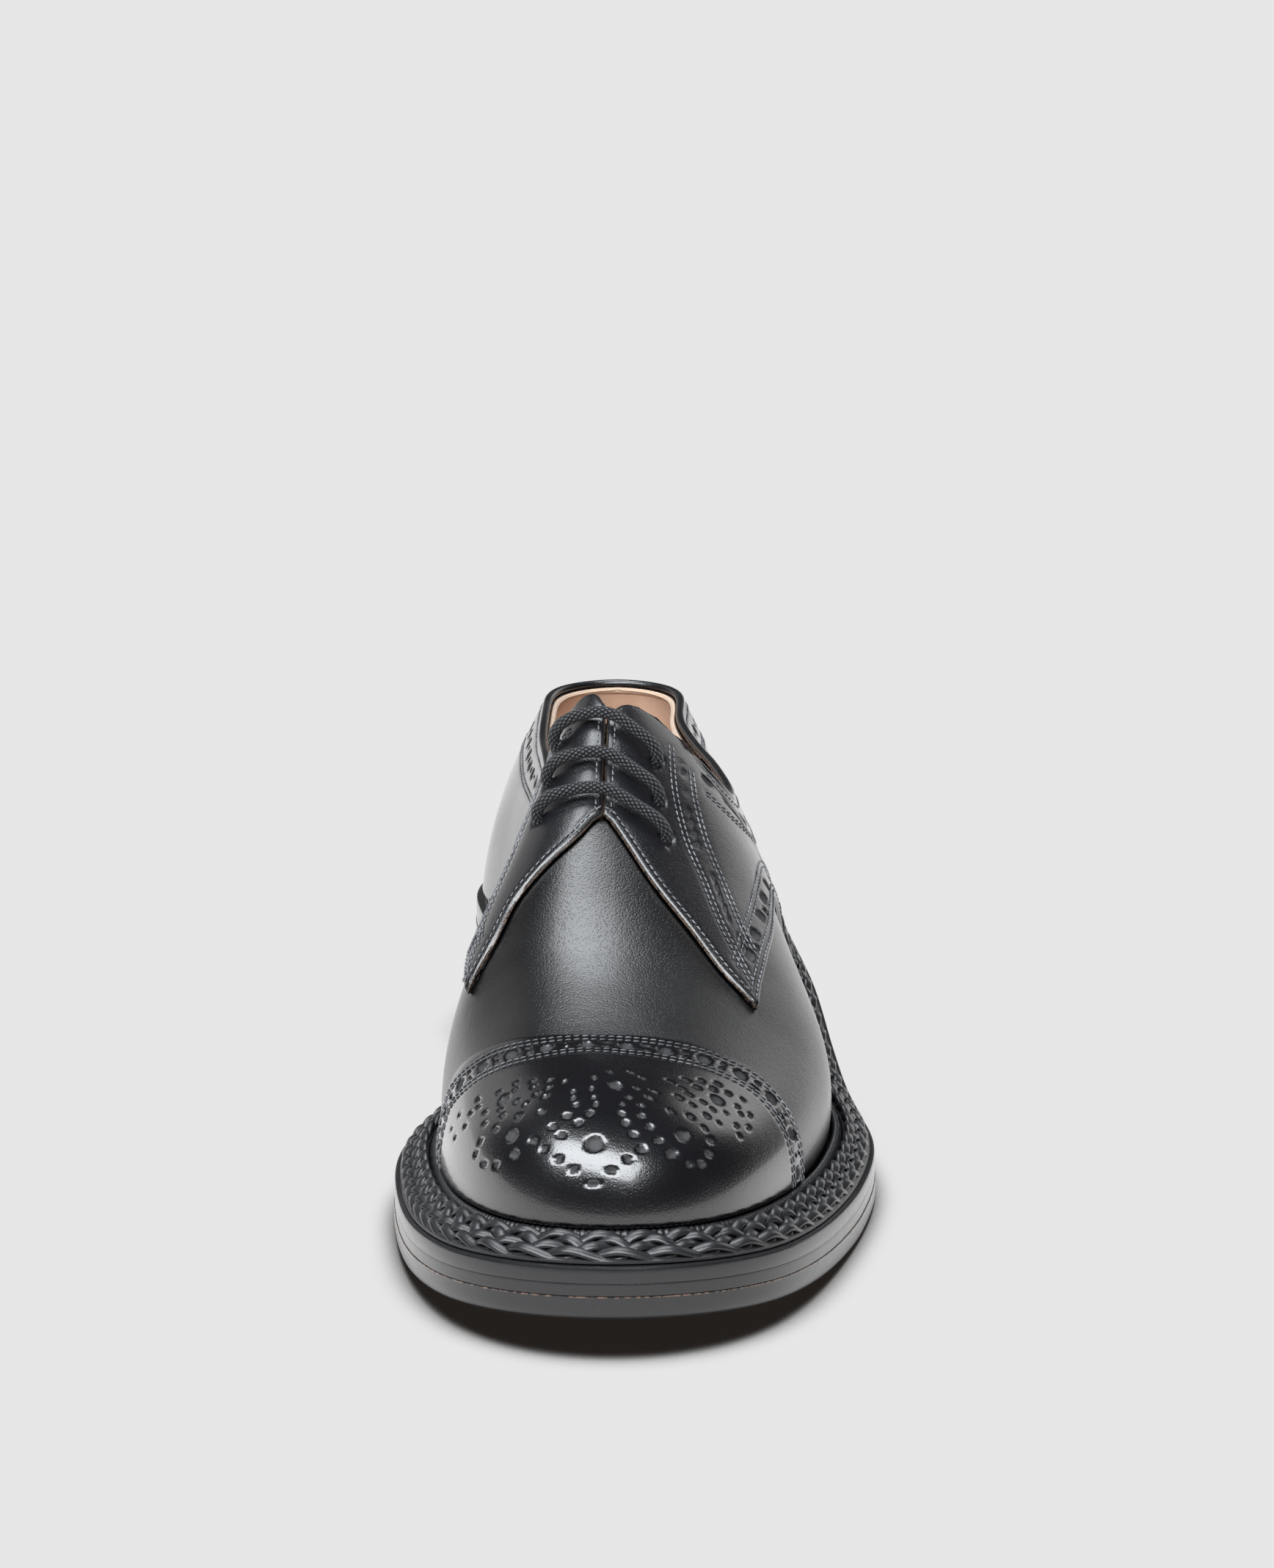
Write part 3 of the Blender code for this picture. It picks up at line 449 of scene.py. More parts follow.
@dataclass
class Last:
    """The last of the shoe and the outline of its sole, as the part's source works them out."""

    sole_length: float = 0.302
    ball_width: float = 0.116
    heel_width: float = 0.079
    heel_height: float = 0.0258
    toe_spring: float = 0.0090
    sole_thick: float = 0.0122
    instep_height: float = 0.1065
    margin_toe: float = 0.0170
    margin_ball: float = 0.0140
    margin_heel: float = 0.0055
    toe_fan: float = 0.040
    heel_fan: float = 0.026
    fan_lead: float = 0.005
    throat: float = 0.605
    throat_gap: float = 0.0004
    throat_ease: float = 0.030
    dense: int = 3000

    def __post_init__(self) -> None:
        """Works out the sole's outline and the feather line inside it."""
        raw = [
            (heel * self.heel_width + ball * self.ball_width, along * self.sole_length)
            for along, heel, ball in SOLE_OUTLINE
        ]
        self.outline = self._closed(np.array(raw), self.dense)
        middle = (self.outline[:, 0].min() + self.outline[:, 0].max()) / 2
        self.outline[:, 0] -= middle
        self.outline[:, 1] -= self.outline[:, 1].min()
        self.outline[:, 1] *= self.sole_length / self.outline[:, 1].max()
        self.axis_x = -middle
        self.feather = self.sides(self.inset(self.edge_margin()))
        self.start = self.feather[Side.LATERAL][0, 1]
        self.length = self.feather[Side.LATERAL][-1, 1] - self.start

    @staticmethod
    def _closed(points: np.ndarray, count: int) -> np.ndarray:
        """Returns count points on a smooth closed curve through the points."""
        lap = 3
        turns = np.vstack([points] * (2 * lap + 1))
        steps = np.sqrt(np.linalg.norm(np.diff(turns, axis=0), axis=1))
        knots = np.concatenate([[0.0], np.cumsum(steps)])
        ends = knots[lap * len(points)], knots[(lap + 1) * len(points)]
        at = np.linspace(*ends, count, endpoint=False)
        return np.column_stack([cubic(knots, turns[:, axis])(at) for axis in range(2)])

    def inset(self, margin: np.ndarray | float) -> np.ndarray:
        """Returns the sole's outline moved inwards by a margin, one or one for each point."""
        tangent = np.roll(self.outline, -1, axis=0) - np.roll(self.outline, 1, axis=0)
        normal = unit(np.column_stack([tangent[:, 1], -tangent[:, 0]]))
        if np.sum(normal * (self.outline.mean(axis=0) - self.outline)) < 0:
            normal = -normal
        return self.outline + normal * np.reshape(margin, (-1, 1))

    def edge_margin(self) -> np.ndarray:
        """Returns how far the feather line lies inside the sole's edge, at each outline point."""
        along = self.outline[:, 1] / self.sole_length
        ball = steady([0.0, 0.16, 0.42, 1.0], [0.0, 0.0, 1.0, 1.0])(along)
        toe = steady([0.0, 0.70, 1.0], [0.0, 0.0, 1.0])(along)
        margin = self.margin_heel + (self.margin_ball - self.margin_heel) * ball
        return margin + (self.margin_toe - self.margin_ball) * toe

    def margin_at(self, along: np.ndarray) -> np.ndarray:
        """Returns how far the sole's edge lies outside the feather line at shares along."""
        places = self.start + along * self.length
        order = np.argsort(self.outline[:, 1])
        return np.interp(places, self.outline[order, 1], self.edge_margin()[order])

    @staticmethod
    def sides(curve: np.ndarray) -> dict[Side, np.ndarray]:
        """Splits a closed curve at its heel and toe into the two sides, each heel first."""
        heel, toe = int(np.argmin(curve[:, 1])), int(np.argmax(curve[:, 1]))
        rolled = np.roll(curve, -heel, axis=0)
        split = (toe - heel) % len(curve)
        one, other = rolled[: split + 1], np.vstack([rolled[split:], rolled[:1]])[::-1]
        outer, inner = (one, other) if one[:, 0].mean() > other[:, 0].mean() else (other, one)
        return {Side.LATERAL: outer, Side.MEDIAL: inner}

    @staticmethod
    def across(line: np.ndarray, places: np.ndarray) -> np.ndarray:
        """Returns how far across a side's line lies at places along."""
        rising = np.maximum.accumulate(line[:, 1] + np.arange(len(line)) * 1e-12)
        return np.interp(places, rising, line[:, 0])

    def underside(self, places: np.ndarray) -> np.ndarray:
        """Returns the height of the sole's underside at places along the sole."""
        shares = np.asarray(places) / self.sole_length
        heel, spring = (through(UNDERSIDE, index)(shares) for index in (1, 2))
        return heel * self.heel_height + spring * self.toe_spring

    def seat(self, places: np.ndarray) -> np.ndarray:
        """Returns the height on which the upper and the welt stand."""
        return self.underside(places) + self.sole_thick

    def world(self, points: np.ndarray) -> np.ndarray:
        """Turns points (across, along from the heel, height) into the shoe's frame."""
        points = np.array(points, float)
        points[..., 1] = self.sole_length / 2 - points[..., 1]
        return points

    def round_to_along(self, share: np.ndarray) -> np.ndarray:
        """Turns shares of the way round the feather line into shares along it, on both sides."""
        line = self.feather[Side.LATERAL]
        run = arc(line)
        return (np.interp(share * run[-1], run, line[:, 1]) - self.start) / self.length

    def along_to_round(self, along: np.ndarray | float) -> np.ndarray:
        """Turns shares along the feather line into shares of the way round it."""
        line = self.feather[Side.LATERAL]
        run = arc(line)
        return np.interp(self.start + along * self.length, line[:, 1], run) / run[-1]

    def way_round(self, side: Side) -> float:
        """Returns the length of one side's feather line."""
        return arc(self.feather[side])[-1]

    def up_at(self, side: Side, along: np.ndarray, height: float) -> np.ndarray:
        """Returns the shares up at which the side stands a height above its foot."""
        part = 0.2
        foot, over = (self.surface(side, along, up)[..., 2] for up in (0.0, part))
        return part * height / (over - foot)

    def surface(self, side: Side, along: np.ndarray, up: np.ndarray) -> np.ndarray:
        """Returns points on the last.

        Args:
            side: The side of the shoe.
            along: Shares along the feather line from the heel to the toe.
            up: Shares of the way from the feather line over the side to the ridge.

        Returns:
            The points, in the shoe's frame.
        """
        along, up = np.broadcast_arrays(np.asarray(along, float), np.asarray(up, float))
        foot_y = self.start + along * self.length
        foot_x, foot_z = self.across(self.feather[side], foot_y), self.seat(foot_y)
        from_heel = foot_y - self.start + self.fan_lead
        from_toe = self.start + self.length - foot_y + self.fan_lead
        ridge_y = foot_y + np.hypot(from_heel, self.heel_fan) - from_heel
        ridge_y = ridge_y - np.hypot(from_toe, self.toe_fan) + from_toe
        share = (ridge_y - self.start) / self.length
        height = cubic(column(RIDGE, 0), column(RIDGE, 1))
        ridge_z = height(share) * self.instep_height
        shift = cubic(column(RIDGE, 0), column(RIDGE, 2))(share)
        ridge_x = self.axis_x + shift * self.ball_width
        step = 1e-3
        climb = (height(share + step) - height(share - step)) * self.instep_height
        climb = climb / (2 * step * self.length)
        fall = cubic(column(RIDGE, 0), column(RIDGE, 3))(share)
        swell_column = 3 if side is Side.LATERAL else 4
        draw, low, swell = (
            cubic(column(SECTIONS, 0), column(SECTIONS, index))(along)
            for index in (1, 2, swell_column)
        )
        angle = up * math.pi / 2
        level, rise = np.cos(angle), np.sin(angle)
        out = level * (1 - draw * rise) + low * np.sin(4 * angle) + swell * np.sin(2 * angle)
        gone_x, gone_y = (foot_x - ridge_x) * out, (foot_y - ridge_y) * out
        top = foot_z + (ridge_z - foot_z) * rise + (climb * gone_y - fall * gone_x) * rise**2
        return self.world(np.stack([ridge_x + gone_x, ridge_y + gone_y, top], axis=-1))

    def slit_up(self, along: np.ndarray) -> np.ndarray:
        """Returns how far up a facing's edge lies, so that the throat's gap stays open."""
        probe, ridge = (self.surface(Side.LATERAL, along, up) for up in (0.9, 1.0))
        reach = np.linalg.norm(probe - ridge, axis=-1)
        ease = np.clip((self.throat - along) / self.throat_ease, 0, 1)
        return 1 - 0.1 * self.throat_gap / 2 * ease / reach

    def top_edge(self, side: Side, along: np.ndarray) -> np.ndarray:
        """Returns how far up the upper reaches: the topline, the slit or the ridge."""
        table = TOPLINE[side]
        line = through(table)(along)
        slit = np.where(along >= self.throat, 1.0, self.slit_up(along))
        return np.where(along < table[-1][0], np.minimum(line, slit), slit)


LAST = Last()


@dataclass
class Run:
    """A line on the shoe, with the surface's direction outwards at each of its points."""

    points: np.ndarray
    normals: np.ndarray

    @property
    def length(self) -> float:
        """The line's length in metres."""
        return float(arc(self.points)[-1])

    def ahead(self) -> np.ndarray:
        """Returns the unit directions along the line."""
        return unit(np.gradient(self.points, axis=0))

    def stepped(self, pitch: float, lead: float = 0.0) -> "Run":
        """Returns the line at even steps.

        Args:
            pitch: About how far apart the steps are, in metres.
            lead: How far from each end the first and the last step stay.
        """
        run = arc(self.points)
        count = max(2, int(round((run[-1] - 2 * lead) / pitch)) + 1)
        at = np.linspace(lead, run[-1] - lead, count)
        return Run(read(at, run, self.points), unit(read(at, run, self.normals)))

    def part(self, start: float, stop: float) -> "Run":
        """Returns the stretch between two distances in metres from the line's start."""
        run = arc(self.points)
        kept = (run >= start) & (run <= stop)
        return Run(self.points[kept], self.normals[kept])


class Skin:
    """A dense copy of the last's surface, on which seams and holes are set out."""

    COLUMNS, ROWS = 420, 130
    SHORT = 9

    def __init__(self, last: Last) -> None:
        """Builds the copy as a tree of faces that can be searched."""
        places, faces, first = [], [], 0
        self.last = last
        for side in Side:
            share = np.linspace(0, 1, self.COLUMNS + 1)
            along = np.repeat(last.round_to_along(share)[:, None], self.ROWS + 1, axis=1)
            up = np.repeat(np.linspace(0, 1, self.ROWS + 1)[None, :], self.COLUMNS + 1, axis=0)
            places.append(last.surface(side, along, up).reshape(-1, 3))
            index = np.arange((self.COLUMNS + 1) * (self.ROWS + 1)) + first
            index = index.reshape(self.COLUMNS + 1, self.ROWS + 1)
            corners = (index[:-1, :-1], index[1:, :-1], index[1:, 1:], index[:-1, 1:])
            quads = np.stack(corners, axis=-1).reshape(-1, 4)
            faces.append(quads if side is Side.LATERAL else quads[:, ::-1])
            first += index.size
        self.tree = BVHTree.FromPolygons(np.vstack(places).tolist(), np.vstack(faces).tolist())
        outer = self.tree.find_nearest(Vector((0.2, 0.0, 0.04)))
        self.turn = 1.0 if outer[1].x > 0 else -1.0

    def lay(self, points: np.ndarray, height: float) -> Run:
        """Lays points onto the last and lifts them off it by a height.

        The directions outwards are evened out along a line, but not among a few points.
        """
        found = [self.tree.find_nearest(Vector(p)) for p in points]
        normals = np.array([hit[1] for hit in found]) * self.turn
        if len(normals) > self.SHORT:
            normals = evened(normals, np.ones(5) / 5)
        normals = unit(normals)
        return Run(np.array([hit[0] for hit in found]) + normals * height, normals)

    def seen(self, origin: np.ndarray, direction: np.ndarray) -> Optional[np.ndarray]:
        """Returns where a ray first meets the last."""
        hit = self.tree.ray_cast(Vector(origin), Vector(direction))
        return None if hit[0] is None else np.array(hit[0])

    def trace(self, side: Side, table: Table, height: float, count: int = 240) -> Run:
        """Returns the smooth line through a table of (along, up) on one side."""
        knots = np.linspace(0, 1, len(table))
        at = np.linspace(0, 1, count)
        along, up = (steady(knots, column(table, k))(at) for k in (0, 1))
        return self.lay(self.last.surface(side, along, up), height)

    def beside(self, line: Run, distance: float, height: float) -> Run:
        """Returns the line a distance to the left of another, seen from outside."""
        left = unit(np.cross(line.normals, line.ahead()))
        return self.lay(line.points + left * distance, height)


SKIN = Skin(LAST)


def deselect() -> None:
    """Deselects everything, in object mode."""
    bpy.ops.object.select_all(action="DESELECT")


def activate(obj: bpy.types.Object) -> None:
    """Makes one object the only selected and the active one."""
    deselect()
    obj.select_set(True)
    bpy.context.view_layer.objects.active = obj


@contextmanager
def editing(obj: bpy.types.Object, everything: bool = True) -> Iterator[None]:
    """Opens an object in edit mode, with everything selected or as it was, and closes it."""
    activate(obj)
    bpy.ops.object.mode_set(mode="EDIT")
    if everything:
        bpy.ops.mesh.select_all(action="SELECT")
    yield
    bpy.ops.object.mode_set(mode="OBJECT")


def coordinates(obj: bpy.types.Object) -> np.ndarray:
    """Returns an object's vertices as an array."""
    flat = np.empty(len(obj.data.vertices) * 3)
    obj.data.vertices.foreach_get("co", flat)
    return flat.reshape(-1, 3)


def place_vertices(obj: bpy.types.Object, points: np.ndarray) -> None:
    """Moves an object's vertices to the points."""
    obj.data.vertices.foreach_set("co", np.ascontiguousarray(points, float).ravel())
    obj.data.update()


def vertex_normals(obj: bpy.types.Object) -> np.ndarray:
    """Returns the unit normal at each vertex."""
    flat = np.empty(len(obj.data.vertices) * 3)
    obj.data.vertex_normals.foreach_get("vector", flat)
    return flat.reshape(-1, 3)


def mark(obj: bpy.types.Object, name: str, values: np.ndarray) -> None:
    """Stores one number for each vertex, for a material to read."""
    layer = obj.data.attributes.get(name) or obj.data.attributes.new(name, "FLOAT", "POINT")
    layer.data.foreach_set("value", np.ascontiguousarray(values, float))


def flat_grid(name: str, columns: int, rows: int) -> bpy.types.Object:
    """Adds a grid over the unit square, to be shaped."""
    deselect()
    bpy.ops.mesh.primitive_grid_add(x_subdivisions=columns, y_subdivisions=rows, size=1.0)
    obj = bpy.context.object
    obj.name = obj.data.name = name
    place_vertices(obj, coordinates(obj) + (0.5, 0.5, 0.0))
    return obj


def joined(objects: Sequence[bpy.types.Object], name: str) -> bpy.types.Object:
    """Joins objects into one, welds what meets and turns its faces one way."""
    deselect()
    for obj in objects:
        obj.select_set(True)
    bpy.context.view_layer.objects.active = objects[0]
    if len(objects) > 1:
        bpy.ops.object.join()
    obj = bpy.context.object
    obj.name = obj.data.name = name
    with editing(obj):
        bpy.ops.mesh.remove_doubles(threshold=WELD)
        bpy.ops.mesh.normals_make_consistent(inside=False)
    return obj


def shaped(name: str, columns: int, rows: int, place: Place) -> bpy.types.Object:
    """Shapes a grid by a function of its two shares."""
    obj = flat_grid(name, columns, rows)
    flat = coordinates(obj)
    place_vertices(obj, place(flat[:, 0], flat[:, 1]))
    return obj


def loft(name: str, columns: int, rows: int, place: Place) -> bpy.types.Object:
    """Shapes a grid and welds the edges that meet."""
    return joined([shaped(name, columns, rows, place)], name)


def close_ends(obj: bpy.types.Object) -> None:
    """Fills the open ends of a tube or wall."""
    with editing(obj):
        bpy.ops.mesh.fill_holes(sides=0)
        bpy.ops.mesh.normals_make_consistent(inside=False)


def modify(obj: bpy.types.Object, kind: str, **settings: object) -> None:
    """Adds a modifier with its settings and applies it."""
    activate(obj)
    modifier = obj.modifiers.new(kind.lower(), kind)
    for key, value in settings.items():
        setattr(modifier, key, value)
    bpy.ops.object.modifier_apply(modifier=modifier.name)


def round_off(obj: bpy.types.Object, sharp: float = 180.0) -> None:
    """Shades an object smooth, with edges sharper than an angle in degrees kept."""
    activate(obj)
    if sharp >= 180.0:
        bpy.ops.object.shade_smooth()
    else:
        bpy.ops.object.shade_smooth_by_angle(angle=math.radians(sharp))


def nearest(points: np.ndarray, targets: np.ndarray) -> np.ndarray:
    """Returns each point's distance to the nearest of the targets."""
    tree = kdtree.KDTree(len(targets))
    for index, target in enumerate(targets):
        tree.insert(target, index)
    tree.balance()
    return np.array([tree.find(p)[2] for p in points])


@dataclass
class Stock:
    """What a sheet of leather carries: its holes and the seams pressed into it."""

    holes: list[tuple[np.ndarray, float, float]] = field(default_factory=list)
    seams: list[np.ndarray] = field(default_factory=list)

    def punch(self, points: np.ndarray, radius: float, depth: float = 0.0009) -> None:
        """Adds a hole of a radius and depth at each point."""
        self.holes.extend((np.asarray(p), radius, depth) for p in points)

    def press(self, line: Run) -> None:
        """Adds a seam along a line."""
        self.seams.append(line.stepped(0.4 * MM).points)


@dataclass
class Patch:
    """One side's share of a sheet: how a unit square spreads over the last."""

    side: Side
    columns: int
    rows: int
    spread: Spread

    def surface(self, flat: np.ndarray) -> np.ndarray:
        """Returns the last's points for points of the unit square."""
        return LAST.surface(self.side, *self.spread(flat[:, 0], flat[:, 1]))


@dataclass
class Sheet:
    """A sheet of leather laid on the last, finely divided where it is punched or sewn.

    Its outside lies a height off the last and its wall goes inwards from there. Its edges are
    rounded over the width roll. The soft steps of a hole are shares of the hole's radius.
    """

    name: str
    patches: list[Patch]
    outside: float
    wall: float
    stock: Stock = field(default_factory=Stock)
    roll: float = 0.0
    swell: Optional[Callable[[np.ndarray], np.ndarray]] = None
    groove: float = 0.00016
    groove_reach: float = 0.00055
    hole_wall: Pair = (0.82, 1.04)
    hole_lip: Pair = (0.90, 1.50)
    hole_dark: Pair = (0.72, 1.00)
    lip_sink: float = 0.00002
    rim_reach: float = 0.0004
    hole_margin: float = 0.0005
    seam_margin: float = 0.0014
    roll_depth: float = 0.8
    core: Point = (0.0, 0.0, 0.02)
    flatness: float = 0.15
    sharp: float = 62.0

    @staticmethod
    def _divide(
        obj: bpy.types.Object, patch: Patch, targets: Sequence[np.ndarray], reach: float
    ) -> None:
        """Divides once the faces of a flat grid whose places on the last come near the targets."""
        mesh = obj.data
        centres = np.empty(len(mesh.polygons) * 3)
        mesh.polygons.foreach_get("center", centres)
        close = nearest(patch.surface(centres.reshape(-1, 3)), targets) < reach
        mesh.vertices.foreach_set("select", np.zeros(len(mesh.vertices), bool))
        mesh.edges.foreach_set("select", np.zeros(len(mesh.edges), bool))
        mesh.polygons.foreach_set("select", close)
        with editing(obj, everything=False):
            bpy.ops.mesh.subdivide(number_cuts=1, ngon=True)

    def _relief(self, points: np.ndarray) -> tuple[np.ndarray, np.ndarray]:
        """Returns how far each point sinks under holes and seams, and how deep in a hole it is."""
        sunk, pit = np.zeros(len(points)), np.zeros(len(points))
        for centre, radius, depth in self.stock.holes:
            gone = np.linalg.norm(points - centre, axis=1) / radius
            close = gone < self.hole_lip[1]
            share = gone[close]
            dish = depth * (1 - smooth(share, *self.hole_wall))
            dish += self.lip_sink * (1 - smooth(share, *self.hole_lip))
            sunk[close] = np.maximum(sunk[close], dish)
            pit[close] = np.maximum(pit[close], 1 - smooth(share, *self.hole_dark))
        if self.stock.seams:
            gone = nearest(points, np.vstack(self.stock.seams))
            sunk += self.groove * np.exp(-((gone / self.groove_reach) ** 2))
        return sunk, pit

    def _border(self, obj: bpy.types.Object) -> np.ndarray:
        """Returns points close together along the sheet's open edges."""
        ends = np.array([edge.vertices[:] for edge in obj.data.edges])
        loops = np.empty(len(obj.data.loops), int)
        obj.data.loops.foreach_get("edge_index", loops)
        open_edges = ends[np.bincount(loops, minlength=len(ends)) == 1]
        points = coordinates(obj)
        a, b = points[open_edges[:, 0]], points[open_edges[:, 1]]
        return np.vstack([a + (b - a) * share for share in np.linspace(0, 0.9, 8)])

    def _cut(self, patch: Patch) -> bpy.types.Object:
        """Cuts one side of the sheet, divided near its holes and seams, and lays it on the last."""
        obj = flat_grid(self.name, patch.columns, patch.rows)
        bpy.context.tool_settings.mesh_select_mode = (False, False, True)
        holes = [centre for centre, _, _ in self.stock.holes]
        widest = max([radius for _, radius, _ in self.stock.holes], default=0.0)
        targets = holes + [point for seam in self.stock.seams for point in seam[::2]]
        if targets:
            self._divide(obj, patch, targets, widest + self.seam_margin)
        if holes:
            self._divide(obj, patch, holes, widest + self.hole_margin)
        place_vertices(obj, patch.surface(coordinates(obj)))
        return obj

    def build(self) -> bpy.types.Object:
        """Builds the sheet as a closed wall.

        Returns:
            The sheet, with the attributes pit (in a hole) and rim (near an edge) on its vertices.
        """
        obj = joined([self._cut(patch) for patch in self.patches], self.name)
        points, normals = coordinates(obj), vertex_normals(obj)
        away = (points - self.core) * (1.0, self.flatness, 1.0)
        if np.sum(normals * away) < 0:
            with editing(obj):
                bpy.ops.mesh.flip_normals()
            normals = -normals
        rim = nearest(points, self._border(obj))
        lifted = points + normals * self.outside
        sunk, pit = self._relief(lifted)
        if self.roll > 0:
            share = np.clip(1 - rim / self.roll, 0, 1)
            sunk = np.maximum(sunk, self.roll_depth * self.wall * (1 - np.sqrt(1 - share**2)))
        if self.swell is not None:
            lifted = lifted + normals * self.swell(points)[:, None]
        place_vertices(obj, lifted - normals * sunk[:, None])
        mark(obj, "pit", pit)
        mark(obj, "rim", np.exp(-rim / self.rim_reach))
        modify(obj, "SOLIDIFY", thickness=self.wall, offset=-1.0, use_rim=True)
        round_off(obj, self.sharp)
        return obj


@dataclass
class Thread:
    """A row of stitches, modelled once and set along lines."""

    width: float = 0.00046
    stitch: float = 0.00165
    pitch: float = 0.00195
    lift: float = 0.00004
    lead: float = 0.6
    slant: float = 0.10

    def sew(self, name: str, lines: Sequence[Run]) -> bpy.types.Object:
        """Sews stitches along the lines.

        Args:
            name: The piece's name.
            lines: The lines, on the leather's outside.

        Returns:
            The stitches as one mesh.
        """
        deselect()
        bpy.ops.mesh.primitive_uv_sphere_add(segments=6, ring_count=4, radius=0.5)
        model = bpy.context.object
        activate(model)
        bpy.ops.transform.resize(value=(self.width, self.width, self.stitch))
        bpy.ops.object.transform_apply(location=False, rotation=False, scale=True)
        shape = coordinates(model)
        faces = [tuple(face.vertices) for face in model.data.polygons]
        bpy.data.objects.remove(model, do_unlink=True)
        points, corners, first = [], [], 0
        for line in lines:
            row = line.stepped(self.pitch, lead=self.lead * self.stitch)
            ahead = row.ahead()
            across = unit(np.cross(row.normals, ahead))
            for spot, a, n, c in zip(row.points, ahead, row.normals, across):
                lean = unit(a + self.slant * c)
                flat = shape[:, :1] * np.cross(n, lean) + shape[:, 1:2] * n + shape[:, 2:] * lean
                points.append(spot + n * self.lift + flat)
                corners += [tuple(k + first for k in face) for face in faces]
                first += len(shape)
        mesh = bpy.data.meshes.new(name)
        mesh.from_pydata(np.vstack(points).tolist(), [], corners)
        obj = bpy.data.objects.new(name, mesh)
        bpy.context.scene.collection.objects.link(obj)
        round_off(obj)
        return obj


class Wire:
    """A shader socket that can be used in sums."""

    def __init__(self, bench: "Bench", socket: bpy.types.NodeSocket) -> None:
        """Wraps a socket of a material that is being made."""
        self.bench, self.socket = bench, socket

    def _sum(self, operation: str, *terms: "Wire | float") -> "Wire":
        """Returns the result of a Math node."""
        return self.bench.add("ShaderNodeMath", {"operation": operation}, dict(enumerate(terms)))

    def __add__(self, other: "Wire | float") -> "Wire":
        """Adds."""
        return self._sum("ADD", self, other)

    __radd__ = __add__

    def __mul__(self, other: "Wire | float") -> "Wire":
        """Multiplies."""
        return self._sum("MULTIPLY", self, other)

    __rmul__ = __mul__

    def __sub__(self, other: "Wire | float") -> "Wire":
        """Subtracts."""
        return self._sum("SUBTRACT", self, other)

    def __rsub__(self, other: "Wire | float") -> "Wire":
        """Subtracts from a number."""
        return self._sum("SUBTRACT", other, self)

    def __pow__(self, other: "Wire | float") -> "Wire":
        """Raises to a power."""
        return self._sum("POWER", self, other)

    def sine(self) -> "Wire":
        """Returns the sine."""
        return self._sum("SINE", self)

    def size(self) -> "Wire":
        """Returns the value without its sign."""
        return self._sum("ABSOLUTE", self)

    def between(self, low: float, high: float) -> "Wire":
        """Returns a soft step from 0 at low to 1 at high."""
        return self.bench.add(
            "ShaderNodeMapRange",
            {"interpolation_type": "SMOOTHSTEP"},
            {"Value": self, "From Min": low, "From Max": high},
        )


class Bench:
    """Makes one material, node by node."""

    def __init__(self, tree: bpy.types.NodeTree) -> None:
        """Starts on a node tree."""
        self.tree = tree

    def add(
        self,
        kind: str,
        settings: Optional[dict[str, object]] = None,
        sockets: Optional[dict[str | int, object]] = None,
        out: str | int = 0,
    ) -> Wire:
        """Adds a node.

        Args:
            kind: The node's type.
            settings: Its own settings, set first.
            sockets: Values or wires by the input's name or number.
            out: The output that is returned.

        Returns:
            The output as a wire.
        """
        node = self.tree.nodes.new(kind)
        for key, value in (settings or {}).items():
            setattr(node, key, value)
        for key, value in (sockets or {}).items():
            if isinstance(value, Wire):
                self.tree.links.new(value.socket, node.inputs[key])
            else:
                node.inputs[key].default_value = value
        return Wire(self, node.outputs[out])

    def mix(self, factor: Wire, one: object, other: object) -> Wire:
        """Mixes two colours."""
        sockets = {"Factor": factor, 6: one, 7: other}
        return self.add("ShaderNodeMix", {"data_type": "RGBA"}, sockets, out=2)

    def attribute(self, name: str) -> Wire:
        """Reads a number stored on the vertices."""
        settings = {"attribute_type": "GEOMETRY", "attribute_name": name}
        return self.add("ShaderNodeAttribute", settings, out="Fac")

    def noise(self, scale: float, detail: float = 3.0, rough: float = 0.55) -> Wire:
        """Returns noise in the object's own place, scale per metre."""
        place = self.add("ShaderNodeTexCoord", out="Object")
        sockets = {"Vector": place, "Scale": scale, "Detail": detail, "Roughness": rough}
        return self.add("ShaderNodeTexNoise", sockets=sockets)

    def cells(self, scale: float) -> Wire:
        """Returns the distance to the nearest of scattered points, scale per metre."""
        place = self.add("ShaderNodeTexCoord", out="Object")
        return self.add("ShaderNodeTexVoronoi", sockets={"Vector": place, "Scale": scale})

    def bump(self, height: Wire, depth: float) -> Wire:
        """Returns normals bent by a height map whose full height is depth metres."""
        sockets = {"Height": height, "Distance": depth, "Strength": 1.0}
        return self.add("ShaderNodeBump", sockets=sockets)

    def axes(self, vector: Wire) -> tuple[Wire, ...]:
        """Splits a vector into its three parts."""
        node = self.add("ShaderNodeSeparateXYZ", sockets={0: vector}).socket.node
        return tuple(Wire(self, node.outputs[axis]) for axis in "XYZ")


def shade(name: str, paint: Callable[[Bench], dict[str, object]]) -> bpy.types.Material:
    """Makes a material from a function that gives the shader's sockets."""
    material = bpy.data.materials.new(name)
    material.use_nodes = True
    bench = Bench(material.node_tree)
    shader = material.node_tree.nodes["Principled BSDF"]
    for key, value in paint(bench).items():
        if isinstance(value, Wire):
            bench.tree.links.new(value.socket, shader.inputs[key])
        else:
            shader.inputs[key].default_value = value
    return material


